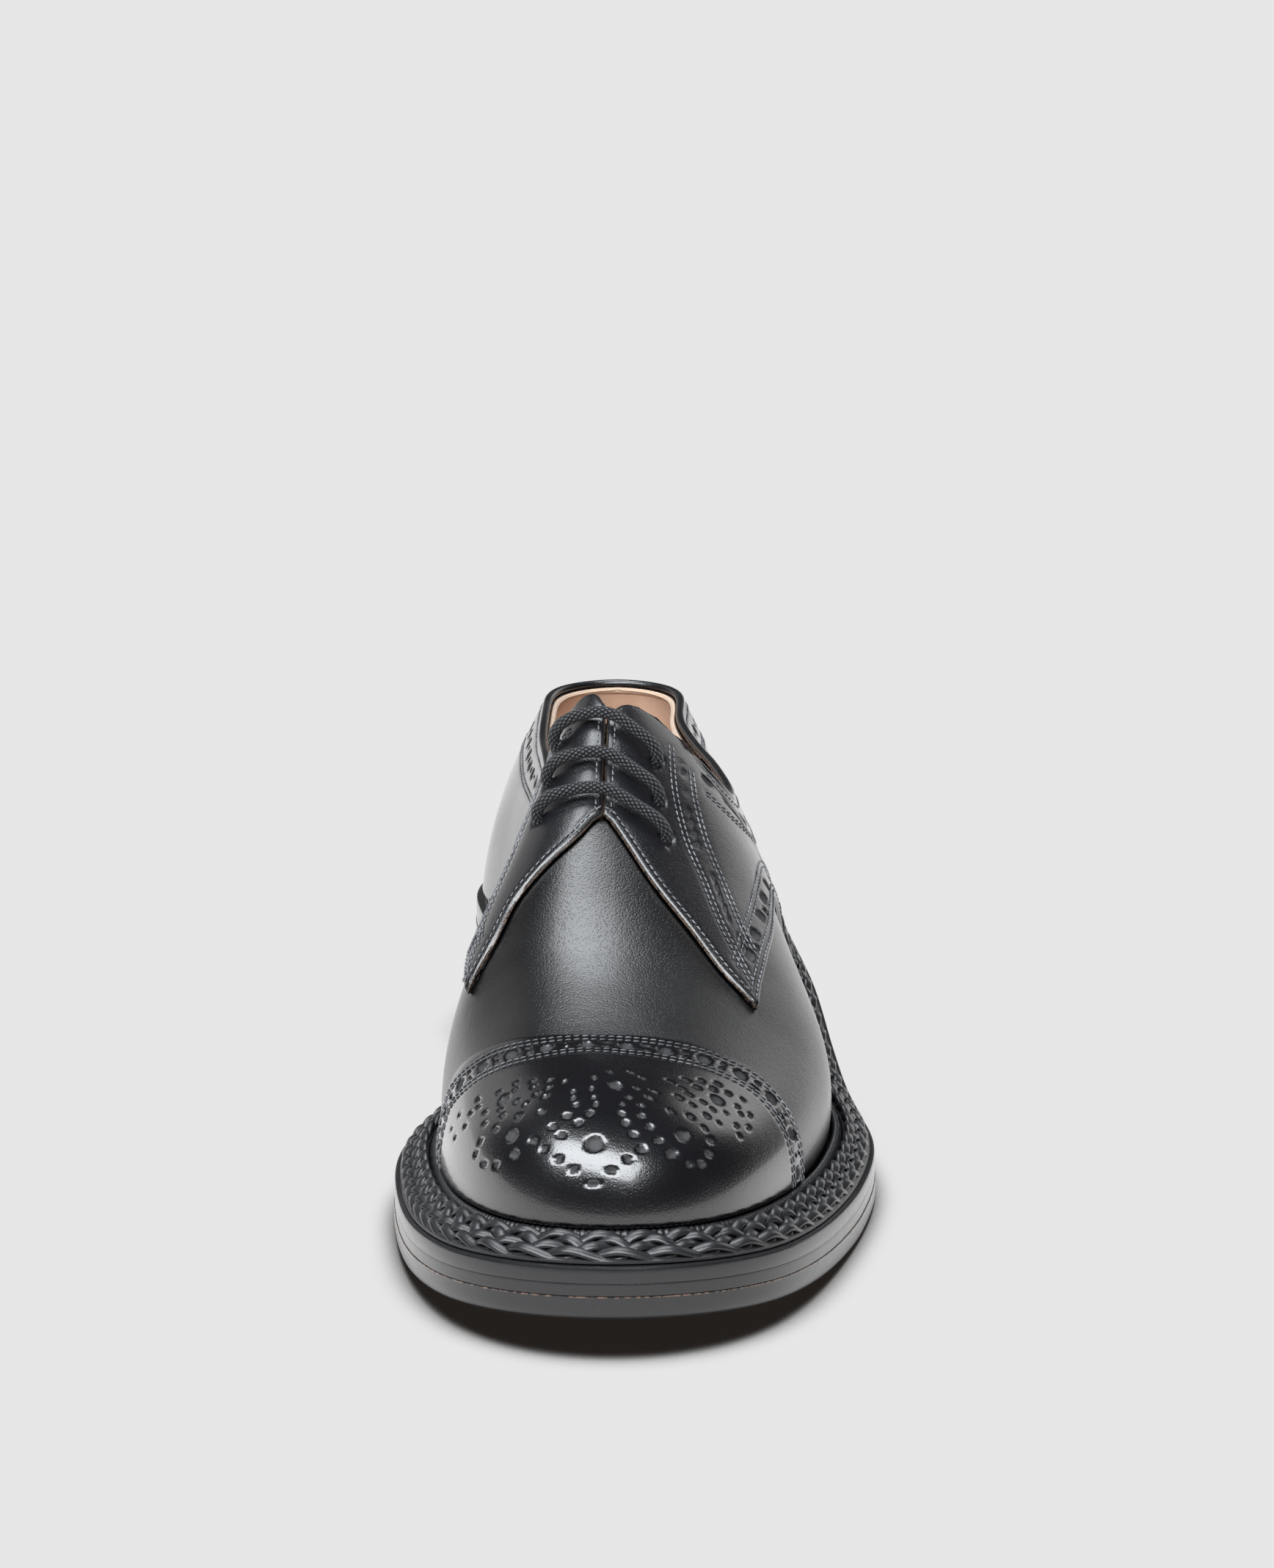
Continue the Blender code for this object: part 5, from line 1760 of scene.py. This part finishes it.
@dataclass
class Welt:
    """The ribbed rand and the plait of strands outside it, round the front of the shoe."""

    back: float = 0.255
    upper_wall: float = 0.0018
    fit: float = 0.0003
    play: float = 0.0002
    clearance: float = 0.0005
    rand_width: float = 0.0024
    rand_height: float = 0.0055
    ledge: float = 0.0017
    rib_pitch: float = 0.00135
    rib_depth: float = 0.00042
    strands: int = 5
    strand_width: float = 0.00265
    strand_thick: float = 0.00150
    cross_pitch: float = 0.0072
    plait_low: float = 0.0016
    plait_high: float = 0.0044
    lap_rise: float = 0.00085
    turn_hold: float = 1.25
    crease_depth: float = 0.22
    crease_width: float = 0.30
    steps: int = 900

    def __post_init__(self) -> None:
        """Sets out the feather line from one side of the waist over the toe to the other."""
        spots, outward, margin, over = [], [], [], []
        for side in Side:
            share = np.linspace(LAST.along_to_round(self.back), 1.0, self.steps)
            along = LAST.round_to_along(share)
            place = LAST.start + along * LAST.length
            line = LAST.world(
                np.column_stack(
                    [LAST.across(LAST.feather[side], place), place, LAST.seat(place)]
                )
            )
            ahead = unit(np.gradient(line[:, :2], axis=0))
            out = np.column_stack([ahead[:, 1], -ahead[:, 0]])
            out *= np.sign(out[:, :1].sum()) * side.value
            high = LAST.up_at(side, along, self.rand_height + self.clearance)
            wall = LAST.surface(side, along, np.clip(high, 0, 1))
            lean = np.maximum(0, np.sum((wall - line)[:, :2] * out, axis=1))
            order = slice(None) if side is Side.LATERAL else slice(None, None, -1)
            spots.append(line[order])
            outward.append(out[order])
            margin.append(LAST.margin_at(along)[order])
            over.append(lean[order])
        self.line = np.vstack([spots[0], spots[1][1:]])
        out = np.vstack([outward[0], outward[1][1:]])
        self.out = np.column_stack([unit(evened(out, bell(9))), np.zeros(len(out))])
        self.margin = np.concatenate([margin[0], margin[1][1:]])
        lean = evened(np.concatenate([over[0], over[1][1:]])[:, None], bell(9))[:, 0]
        self.rand_start = self.upper_wall + self.fit + lean + self.play
        self.plait_start = self.rand_start + self.rand_width + self.fit
        self.plait_span = self.margin - self.ledge - self.plait_start
        self.run = arc(self.line)

    def at(self, share: np.ndarray, values: np.ndarray) -> np.ndarray:
        """Reads values given along the line at shares of its length."""
        place = share * self.run[-1]
        if values.ndim == 1:
            return np.interp(place, self.run, values)
        return read(place, self.run, values)

    def section(self, share: np.ndarray, out: np.ndarray, height: np.ndarray) -> np.ndarray:
        """Returns points a distance out from the feather line and a height above the seat."""
        place = self.at(share, self.line) + unit(self.at(share, self.out)) * out[:, None]
        along = LAST.sole_length / 2 - place[:, 1]
        place[:, 2] = LAST.seat(along) + height
        return place

    def build(self) -> None:
        """Builds the rand, the ledge under the plait and the plait."""
        self.build_rand()
        self.build_bed()
        self.build_plait()

    def build_rand(self) -> None:
        """Builds the rand with fine ribs across it."""
        round_rand = (
            # out as a share of the width, height as a share of the rand's height
            (0.0, 0.0), (0.0, 0.80), (0.10, 0.94), (0.30, 1.0), (0.62, 0.95), (0.88, 0.76),
            (1.0, 0.45), (1.0, 0.0), (0.0, 0.0),
        )
        knots = np.linspace(0, 1, len(round_rand))
        ribs = self.run[-1] / self.rib_pitch

        def place(u: np.ndarray, v: np.ndarray) -> np.ndarray:
            out, high = (np.interp(v, knots, column(round_rand, k)) for k in (0, 1))
            wave = np.abs(np.sin(math.pi * u * ribs)) ** 0.6 - 0.6
            raised = wave * self.rib_depth * smooth(high, 0.3, 0.7)
            wide = out * self.rand_width + raised * smooth(out, 0.5, 1.0)
            height = high * self.rand_height + raised
            return self.section(u, self.at(u, self.rand_start) + wide, height)

        rand = loft("ribbed_rand", int(ribs * 7), 16, place)
        close_ends(rand)
        round_off(rand)
        finish = Waxed("rand_leather", roughness=0.42, coat=0.10, wear=0.7).material()
        Pieces.hand_over(rand, finish, "rand", ["rand"])

    def build_bed(self) -> None:
        """Builds the strip of leather that the plait lies on."""
        profile = (
            # out as a share of the span, height
            (0.0, 0.0), (0.0, 0.0036), (0.15, 0.0036), (0.85, 0.0013), (1.0, 0.0006), (1.0, 0.0),
            (0.0, 0.0),
        )
        knots = np.linspace(0, 1, len(profile))

        def place(u: np.ndarray, v: np.ndarray) -> np.ndarray:
            out, high = (np.interp(v, knots, column(profile, k)) for k in (0, 1))
            start, span = self.at(u, self.plait_start), self.at(u, self.plait_span)
            return self.section(u, start + span * out, high)

        bed = loft("plait_bed", 500, 12, place)
        close_ends(bed)
        round_off(bed, 50.0)
        # The ledge's lightened ground and heavy worn speckle are a painted reflection of the light
        # that its top catches, laid over its own speckled waxed finish.
        dark = (0.020, 0.020, 0.021, 1.0)
        finish = Waxed("bed_leather", ground=dark, roughness=0.42, coat=0.1, wear=0.9).material()
        Pieces.hand_over(bed, finish, "braided_welt")

    def build_plait(self) -> None:
        """Builds the flat plait: each strand zigzags across and passes over and under in turn."""
        count = self.strands
        lap = self.cross_pitch * count
        laps = round(self.run[-1] / lap)
        heights = np.zeros(2 * count + 1)
        for crossing in range(1, count):
            heights[crossing] = heights[count + crossing] = 1.0 if crossing % 2 else -1.0
        weave = cubic(np.linspace(0, 1, 2 * count + 1), heights)
        rings, sides = int(self.run[-1] / (0.75 * MM)), 10
        made = []
        for strand in range(count):
            share = np.linspace(0.0, 1.0, rings + 1)
            phase = (share * laps + strand / count) % 1.0
            swing = np.cos(2 * math.pi * phase)
            swing = np.sign(swing) * (1 - (1 - np.abs(swing)) ** self.turn_hold)
            span = self.at(share, self.plait_span) - self.strand_width
            middle = self.at(share, self.plait_start) + self.strand_width / 2
            middle = middle + span * (0.5 + 0.5 * swing)
            climb = (self.plait_high - self.plait_low) * (0.5 - 0.5 * swing)
            height = self.plait_low + climb + self.lap_rise * weave(phase)
            path = self.section(share, middle, height)
            ahead = unit(np.gradient(path, axis=0))
            slope = ((self.plait_high - self.plait_low) / span)[:, None]
            lean = unit(self.at(share, self.out)) * slope + np.array([0.0, 0.0, 1.0])
            level = unit(np.cross(ahead, unit(lean)))
            above = np.cross(level, ahead)

            def place(
                u: np.ndarray,
                v: np.ndarray,
                path: np.ndarray = path,
                level: np.ndarray = level,
                above: np.ndarray = above,
            ) -> np.ndarray:
                row = np.rint(u * rings).astype(int)
                turn = v * 2 * math.pi
                crease = np.exp(-((np.cos(turn) / self.crease_width) ** 2)) * (np.sin(turn) > 0)
                wide = self.strand_width / 2 * np.cos(turn)
                high = self.strand_thick / 2 * np.sin(turn) * (1 - self.crease_depth * crease)
                return path[row] + level[row] * wide[:, None] + above[row] * high[:, None]

            made.append(loft("strand", rings, sides, place))
        plait = joined(made, "plaited_welt")
        close_ends(plait)
        round_off(plait)
        finish = Waxed(
            "plait_leather", roughness=0.36, coat=0.15, wear=0.30, specular=0.5
        ).material()
        Pieces.hand_over(plait, finish, "braided_welt", ["braided_welt"])


@dataclass
class Sole:
    """The midsole, outsole and insole, and the built heel under them."""

    outsole: float = 0.0050
    midsole: float = 0.0066
    fit: float = 0.0003
    step: float = 0.0004
    top_piece: float = 0.0060
    lift: float = 0.0062
    lifts: int = 3
    heel_length: float = 0.076
    heel_taper: float = 0.0020
    breast_hollow: float = 0.0040
    joint_from: float = 0.985
    rubber_bevel: float = 0.0006
    lift_bevel: float = 0.00018
    steps: int = 260

    def __post_init__(self) -> None:
        """Makes the finishes."""
        self.edge = Waxed(
            "edge_ink", roughness=0.26, coat=0.15, wear=0.20, specular=0.50, fibre=0.00002
        ).material()
        self.heel_ink = Waxed("heel_ink", roughness=0.32, coat=0.3, wear=0.4).material()

    def build(self) -> None:
        """Builds every layer."""
        low = self.outsole + self.fit
        scribed = (
            # inwards in metres, height as a share of the thickness
            (0.00005, 0.0), (0.0, 0.02), (0.0, 0.20), (0.0, 0.42), (0.00006, 0.44),
            (0.0, 0.46), (0.0, 0.90), (0.0002, 0.97), (0.0007, 1.0),
        )
        rounded = (
            (0.0016, 0.0), (0.0008, 0.06), (0.0003, 0.18), (0.0, 0.34), (0.0, 0.96),
            (0.0, 1.0), (0.00005, 1.05),
        )

        def raised(along: np.ndarray) -> np.ndarray:
            return LAST.underside(along) + low

        midsole = self.layer("midsole_edge", self.step, raised, self.midsole, scribed)
        Pieces.hand_over(midsole, self.edge, "midsole", ["midsole"])
        outsole = self.layer(
            "outsole_leather", self.step / 2, LAST.underside, self.outsole, rounded
        )
        tall = coordinates(outsole)
        above = tall[:, 2] - LAST.underside(LAST.sole_length / 2 - tall[:, 1])
        mark(outsole, "joint", (above > self.joint_from * self.outsole).astype(float))
        Pieces.hand_over(outsole, self.edge, "outsole", ["outsole"])
        level = 0.0
        for number in range(self.lifts + 1):
            name = f"heel_lift_{number}" if number else "heel_top_piece"
            thick = self.lift if number else self.top_piece
            draw = self.heel_taper * (1 - number / self.lifts)
            self.heel_layer(name, draw, level, thick, number == 0)
            level += thick + self.fit
        insole = frame_node("insole")
        insole.data.materials.clear()
        insole.data.materials.append(Suede("insole_leather").material())

    def layer(
        self, name: str, margin: float, bottom: Callable, thick: float, profile: Table
    ) -> bpy.types.Object:
        """Builds a layer of the sole with a shaped edge.

        Args:
            name: The piece's name.
            margin: How far inside the sole's outline it stays.
            bottom: The height of its underside at places along.
            thick: Its thickness.
            profile: Its edge's section, from the bottom up.

        Returns:
            The layer, closed.
        """
        curves = LAST.sides(LAST.inset(margin))
        run = arc(curves[Side.LATERAL])
        share = np.linspace(0, 1, self.steps + 1)
        places = np.interp(share * run[-1], run, curves[Side.LATERAL][:, 1])
        knots = np.linspace(0, 1, len(profile))
        walls: list[Place] = []
        for side in Side:
            outer = np.column_stack([LAST.across(curves[side], places), places])
            ahead = unit(np.gradient(outer, axis=0))
            out = np.column_stack([ahead[:, 1], -ahead[:, 0]]) * side.value
            out[0], out[-1] = (0.0, -1.0), (0.0, 1.0)

            def wall(
                u: np.ndarray, v: np.ndarray, outer: np.ndarray = outer, out: np.ndarray = out
            ) -> np.ndarray:
                row = np.rint(u * self.steps).astype(int)
                inwards, high = (np.interp(v, knots, column(profile, k)) for k in (0, 1))
                flat = outer[row] - out[row] * inwards[:, None]
                return LAST.world(np.column_stack([flat, bottom(flat[:, 1]) + high * thick]))

            walls.append(wall)
        parts = [shaped(name, self.steps, 2 * len(profile) - 2, wall) for wall in walls]
        for level in (0.0, 1.0):

            def deck(u: np.ndarray, v: np.ndarray, level: float = level) -> np.ndarray:
                one, other = (wall(u, np.full(len(u), level)) for wall in walls)
                return one + (other - one) * v[:, None]

            parts.append(shaped(name, self.steps, 12, deck))
        obj = joined(parts, name)
        round_off(obj, 40.0)
        return obj

    def heel_ring(self, draw: float) -> np.ndarray:
        """Returns the heel's outline with its hollow breast, drawn in from the sole's edge."""
        breast = self.heel_length - draw
        curves = LAST.sides(LAST.inset(draw))
        outline = []
        for side in Side:
            line = curves[side]
            kept = line[line[:, 1] < breast]
            full = np.vstack([kept, [[LAST.across(line, np.array(breast)), breast]]])
            run = arc(full)
            at = np.linspace(0, run[-1], 70)
            outline.append(read(at, run, full))
        left, right = outline[1][-1, 0], outline[0][-1, 0]
        across = np.linspace(right, left, 24)[1:-1]
        share = (2 * across - left - right) / (right - left)
        hollow = np.column_stack([across, breast - self.breast_hollow * (1 - share**2)])
        return np.vstack([outline[0], hollow, outline[1][::-1][:-1]])

    def heel_layer(self, name: str, draw: float, level: float, thick: float, rubber: bool) -> None:
        """Builds one layer of the heel, its wall in line with the next one's, and bevels it."""
        ring = self.heel_ring(draw)
        above = self.heel_ring(max(draw - self.heel_taper / self.lifts, 0.0))
        count = len(ring)

        def place(u: np.ndarray, v: np.ndarray) -> np.ndarray:
            row = np.rint(u * count).astype(int) % count
            flat = ring[row] + (above[row] - ring[row]) * v[:, None]
            return LAST.world(np.column_stack([flat, level + thick * v]))

        obj = loft(f"{name}_layer", count, 1, place)
        close_ends(obj)
        width = self.rubber_bevel if rubber else self.lift_bevel
        sharp = math.radians(50)
        modify(obj, "BEVEL", width=width, segments=2, limit_method="ANGLE", angle_limit=sharp)
        round_off(obj, 40.0)
        finish = self.heel_ink
        if rubber:
            dark, dusty = (0.012, 0.012, 0.012, 1.0), (0.028, 0.027, 0.026, 1.0)
            finish = Plain("top_piece_rubber", dark, dusty, 0.62, 0.4).material()
        Pieces.hand_over(obj, finish, name, [name])


@dataclass
class Lace:
    """The round cord through the eyelets: three bars, with its ends at the top eyelets."""

    diameter: float = 0.0030
    bend: float = 0.0026
    top: float = 0.0036
    turn: float = 0.20
    tail: float = 0.012
    aside: float = 0.045
    braid_pitch: float = 0.0034
    sides: int = 20

    @staticmethod
    def above(side: Side, along: float, up: float, height: float) -> np.ndarray:
        """Returns the point a height out from the last."""
        step = 1e-3
        here = LAST.surface(side, along, up)
        run = LAST.surface(side, along + step, up) - LAST.surface(side, along - step, up)
        high = min(up + step, 1.0)
        climb = LAST.surface(side, along, high) - LAST.surface(side, along, up - step)
        return here + unit(np.cross(climb, run) * side.value) * height

    def route(self) -> np.ndarray:
        """Returns the knots of the cord's centre line."""
        outer, inner = (
            [(side, *eyelet(side, along, setback)) for along, setback in EYELETS[side]]
            for side in (Side.LATERAL, Side.MEDIAL)
        )
        over, under = self.top + self.bend, -self.bend
        route: list[np.ndarray] = []

        def bar(start: tuple, end: tuple) -> None:
            (s0, a0, u0), (s1, a1, u1) = start, end
            route.extend(self.above(s0, a0, u0, h) for h in (0.0, self.top))
            for share in (self.turn, 0.5):
                along = a0 + (a1 - a0) * share / 2
                route.append(self.above(s0, along, u0 + (1 - u0) * share, over))
            route.append(self.above(s0, (a0 + a1) / 2, 1.0, over))
            for share in (0.5, self.turn):
                along = a1 + (a0 - a1) * share / 2
                route.append(self.above(s1, along, u1 + (1 - u1) * share, over))
            route.extend(self.above(s1, a1, u1, h) for h in (self.top, 0.0))

        def inside(start: tuple, end: tuple) -> None:
            (side, a0, u0), (_, a1, u1) = start, end
            for share in (self.turn, 0.5, 1 - self.turn):
                along, up = a0 + (a1 - a0) * share, u0 + (u1 - u0) * share
                route.append(self.above(side, along, up, under))

        route.append(self.above(inner[0][0], inner[0][1] - self.tail, inner[0][2], under))
        bar(inner[0], outer[0])
        inside(outer[0], outer[1])
        bar(outer[1], inner[1])
        inside(inner[1], inner[2])
        bar(inner[2], outer[2])
        (side, low, low_up), (_, high, high_up) = outer[2], outer[0]
        for share, aside in ((0.12, 0.6), (0.35, 1.0), (0.60, 1.0), (0.85, 1.0), (1.0, 1.0)):
            up = low_up + (high_up - low_up) * share - self.aside * aside
            route.append(self.above(side, low + (high - low) * share, up, under))
        return np.array(route)

    def build(self) -> None:
        """Builds the cord."""
        route = self.route()
        gaps = np.linalg.norm(np.diff(route, axis=0), axis=1)
        knots = np.concatenate([[0.0], np.cumsum(gaps**0.5)])
        fine = np.linspace(0, knots[-1], 4000)
        path = np.column_stack([cubic(knots, route[:, k])(fine) for k in range(3)])
        run = arc(path)
        rings = int(run[-1] / (0.32 * MM))
        at = np.linspace(0, run[-1], rings + 1)
        path = read(at, run, path)
        ahead = unit(np.gradient(path, axis=0))
        across, sides = np.array([1.0, 0.0, 0.0]), []
        for step in ahead:
            across = unit(across - step * np.dot(across, step))
            sides.append(across)
        side = np.array(sides)
        over = np.cross(ahead, side)

        def place(u: np.ndarray, v: np.ndarray) -> np.ndarray:
            row, turn = np.rint(u * rings).astype(int), v * 2 * math.pi
            ring = side[row] * np.cos(turn)[:, None] + over[row] * np.sin(turn)[:, None]
            return path[row] + ring * self.diameter / 2

        cord = loft("lace_cord", rings, self.sides, place)
        close_ends(cord)
        round_off(cord)
        finish = Braided("braided_cotton", turns=run[-1] / self.braid_pitch).material()
        Pieces.hand_over(cord, finish, "lace", ["lace"])


def frame_node(name: str) -> bpy.types.Object:
    """Returns a solid of the frame by its name."""
    return FRAME["nodes"][name]


@dataclass(frozen=True)
class SoftBox:
    """A lamp over a place on the shoe, and the meshes that it leaves unlit."""

    name: str
    target: Point
    way: Point
    far: float
    size: Pair
    glow: float
    lit: str
    unlit: tuple[str, ...]

    def hang(self, colour: Point) -> None:
        """Hangs the lamp and links the meshes that it lights to a collection."""
        data = bpy.data.lights.new(self.name, "AREA")
        data.shape, (data.size, data.size_y) = "RECTANGLE", self.size
        data.energy, data.color = self.glow * math.pi * self.size[0] * self.size[1], colour
        lamp = bpy.data.objects.new(self.name, data)
        direction = Vector(self.way).normalized()
        lamp.location = Vector(self.target) + direction * self.far
        lamp.rotation_euler = direction.to_track_quat("Z", "Y").to_euler()
        lamp.visible_camera = False
        bpy.context.scene.collection.objects.link(lamp)
        lit = bpy.data.collections.new(self.lit)
        for obj in bpy.context.scene.objects:
            if obj.type == "MESH" and not obj.name.startswith(self.unlit):
                lit.objects.link(obj)
        lamp.light_linking.receiver_collection = lit


@dataclass
class Studio:
    """The pale floor, the soft light and the camera.

    The world is mostly dark for what mirrors it. Its bright places are spans of direction:
    the wall behind the shoe, and an upright strip to the right and to the left of it.
    """

    pale: float = 0.795
    camera_back: float = 0.951
    camera_height: float = 0.3080
    camera_pitch: float = 12.802
    focal_length: float = 91.27
    sensor: float = 36.0
    floor_size: float = 8.0
    floor_mirrored: float = 1.35
    shadow_reach: float = 0.036
    shadow: Colour = (0.022, 0.018, 0.016, 1.0)
    shadow_span: Pair = (0.40, 0.74)
    back_wall: Pair = (0.62, 0.90)
    back_wall_top: Pair = (0.04, 0.22)
    back_wall_glow: float = 0.30
    strips_from: Pair = (0.45, 0.62)
    strips_top: Pair = (0.52, 0.66)
    right_strip: tuple[Pair, Pair] = ((0.30, 0.48), (0.60, 0.72))
    right_glow: float = 1.2
    left_strip: tuple[Pair, Pair] = ((0.36, 0.54), (0.64, 0.76))
    left_glow: float = 0.5
    horizon: Pair = (-0.03, 0.01)
    dusk: float = 0.05
    daylight: Point = (0.93, 0.965, 1.0)
    cap_box: SoftBox = SoftBox(
        name="cap_box",
        target=(-0.004, -0.132, 0.050),
        way=(-0.22, -0.48, 0.85),
        far=1.0,
        size=(1.50, 0.54),
        glow=10.5,
        lit="all_but_the_upper",
        unlit=("vamp", "tongue", "studio"),
    )
    vamp_box: SoftBox = SoftBox(
        name="vamp_box",
        target=(0.0, -0.055, 0.085),
        way=(-0.06, 0.27, 0.95),
        far=1.3,
        size=(0.86, 0.58),
        glow=7.2,
        lit="all_but_the_cap",
        unlit=("toe_cap", "studio"),
    )

    def build(self) -> None:
        """Sets up the floor, the world and the camera."""
        deselect()
        bpy.ops.mesh.primitive_plane_add(size=self.floor_size)
        floor = bpy.context.object
        floor.name = "studio_floor"
        floor.data.materials.append(self.paper())
        self.light()
        data = bpy.data.cameras.new("photo_camera")
        data.sensor_fit, data.sensor_height = "VERTICAL", self.sensor
        data.lens = self.focal_length
        camera = bpy.data.objects.new("photo_camera", data)
        camera.location = (0.0, -self.camera_back, self.camera_height)
        camera.rotation_euler = (math.radians(90 - self.camera_pitch), 0.0, 0.0)
        bpy.context.scene.collection.objects.link(camera)
        bpy.context.scene.camera = camera
        bpy.context.scene.view_settings.view_transform = "Standard"

    def paper(self) -> bpy.types.Material:
        """Returns the floor's even paper, with a painted shadow only where the shoe stands close
        above it.
        """
        material = bpy.data.materials.new("studio_paper")
        material.use_nodes = True
        tree = material.node_tree
        tree.nodes.remove(tree.nodes["Principled BSDF"])
        bench = Bench(tree)
        open_sky = bench.add(
            "ShaderNodeAmbientOcclusion", {"samples": 24}, {"Distance": self.shadow_reach}, out="AO"
        )
        # Painted shadow: the paper's glow is darkened towards the shadow colour where the shoe
        # shuts out the open sky close above it.
        painted_shadow_tone = bench.mix(
            open_sky.between(*self.shadow_span), self.shadow, (1.0, 1.0, 1.0, 1.0)
        )
        seen = bench.add("ShaderNodeLightPath", out="Is Camera Ray")
        strength = seen * (self.pale - self.floor_mirrored) + self.floor_mirrored
        glow = bench.add("ShaderNodeEmission", sockets={"Color": painted_shadow_tone, "Strength": strength})
        tree.links.new(glow.socket, tree.nodes["Material Output"].inputs["Surface"])
        return material

    def light(self) -> None:
        """Makes the world, pale for the eye and mostly dark for what shines."""
        world = bpy.data.worlds.new("studio_light")
        world.use_nodes = True
        bpy.context.scene.world = world
        bench = Bench(world.node_tree)
        way = bench.add("ShaderNodeTexCoord", out="Generated")
        x, y, z = bench.axes(way)
        behind = y.between(*self.back_wall) * (1 - z.between(*self.back_wall_top))
        behind = behind * self.back_wall_glow
        reach = y.between(*self.strips_from) * (1 - z.between(*self.strips_top))

        def strip(sideways: Wire, starts: Pair, ends: Pair) -> Wire:
            return sideways.between(*starts) * (1 - sideways.between(*ends)) * reach

        right = strip(x, *self.right_strip) * self.right_glow
        left = strip(0 - x, *self.left_strip) * self.left_glow
        ground = (1 - z.between(*self.horizon)) * self.floor_mirrored
        sky = behind + right + left + ground + self.dusk
        seen = bench.add("ShaderNodeLightPath", out="Is Camera Ray")
        strength = (1 - seen) * sky + seen * self.pale
        background = world.node_tree.nodes["Background"]
        background.inputs["Color"].default_value = (1.0, 1.0, 1.0, 1.0)
        bench.tree.links.new(strength.socket, background.inputs["Strength"])

    def hang_lamps(self) -> None:
        """Hangs one soft box for the toe cap and one for the rest of the upper."""
        for box in (self.cap_box, self.vamp_box):
            box.hang(self.daylight)


FRAME: dict = {}


def main() -> None:
    """Builds the studio and the shoe's pieces in order, hangs the lamps and reports the pieces."""
    logging.basicConfig(level=logging.INFO, format="%(message)s")
    FRAME.update(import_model())
    studio = Studio()
    studio.build()
    Lace().build()
    Upper().build()
    Welt().build()
    Sole().build()
    studio.hang_lamps()


if __name__ == "__main__":
    main()
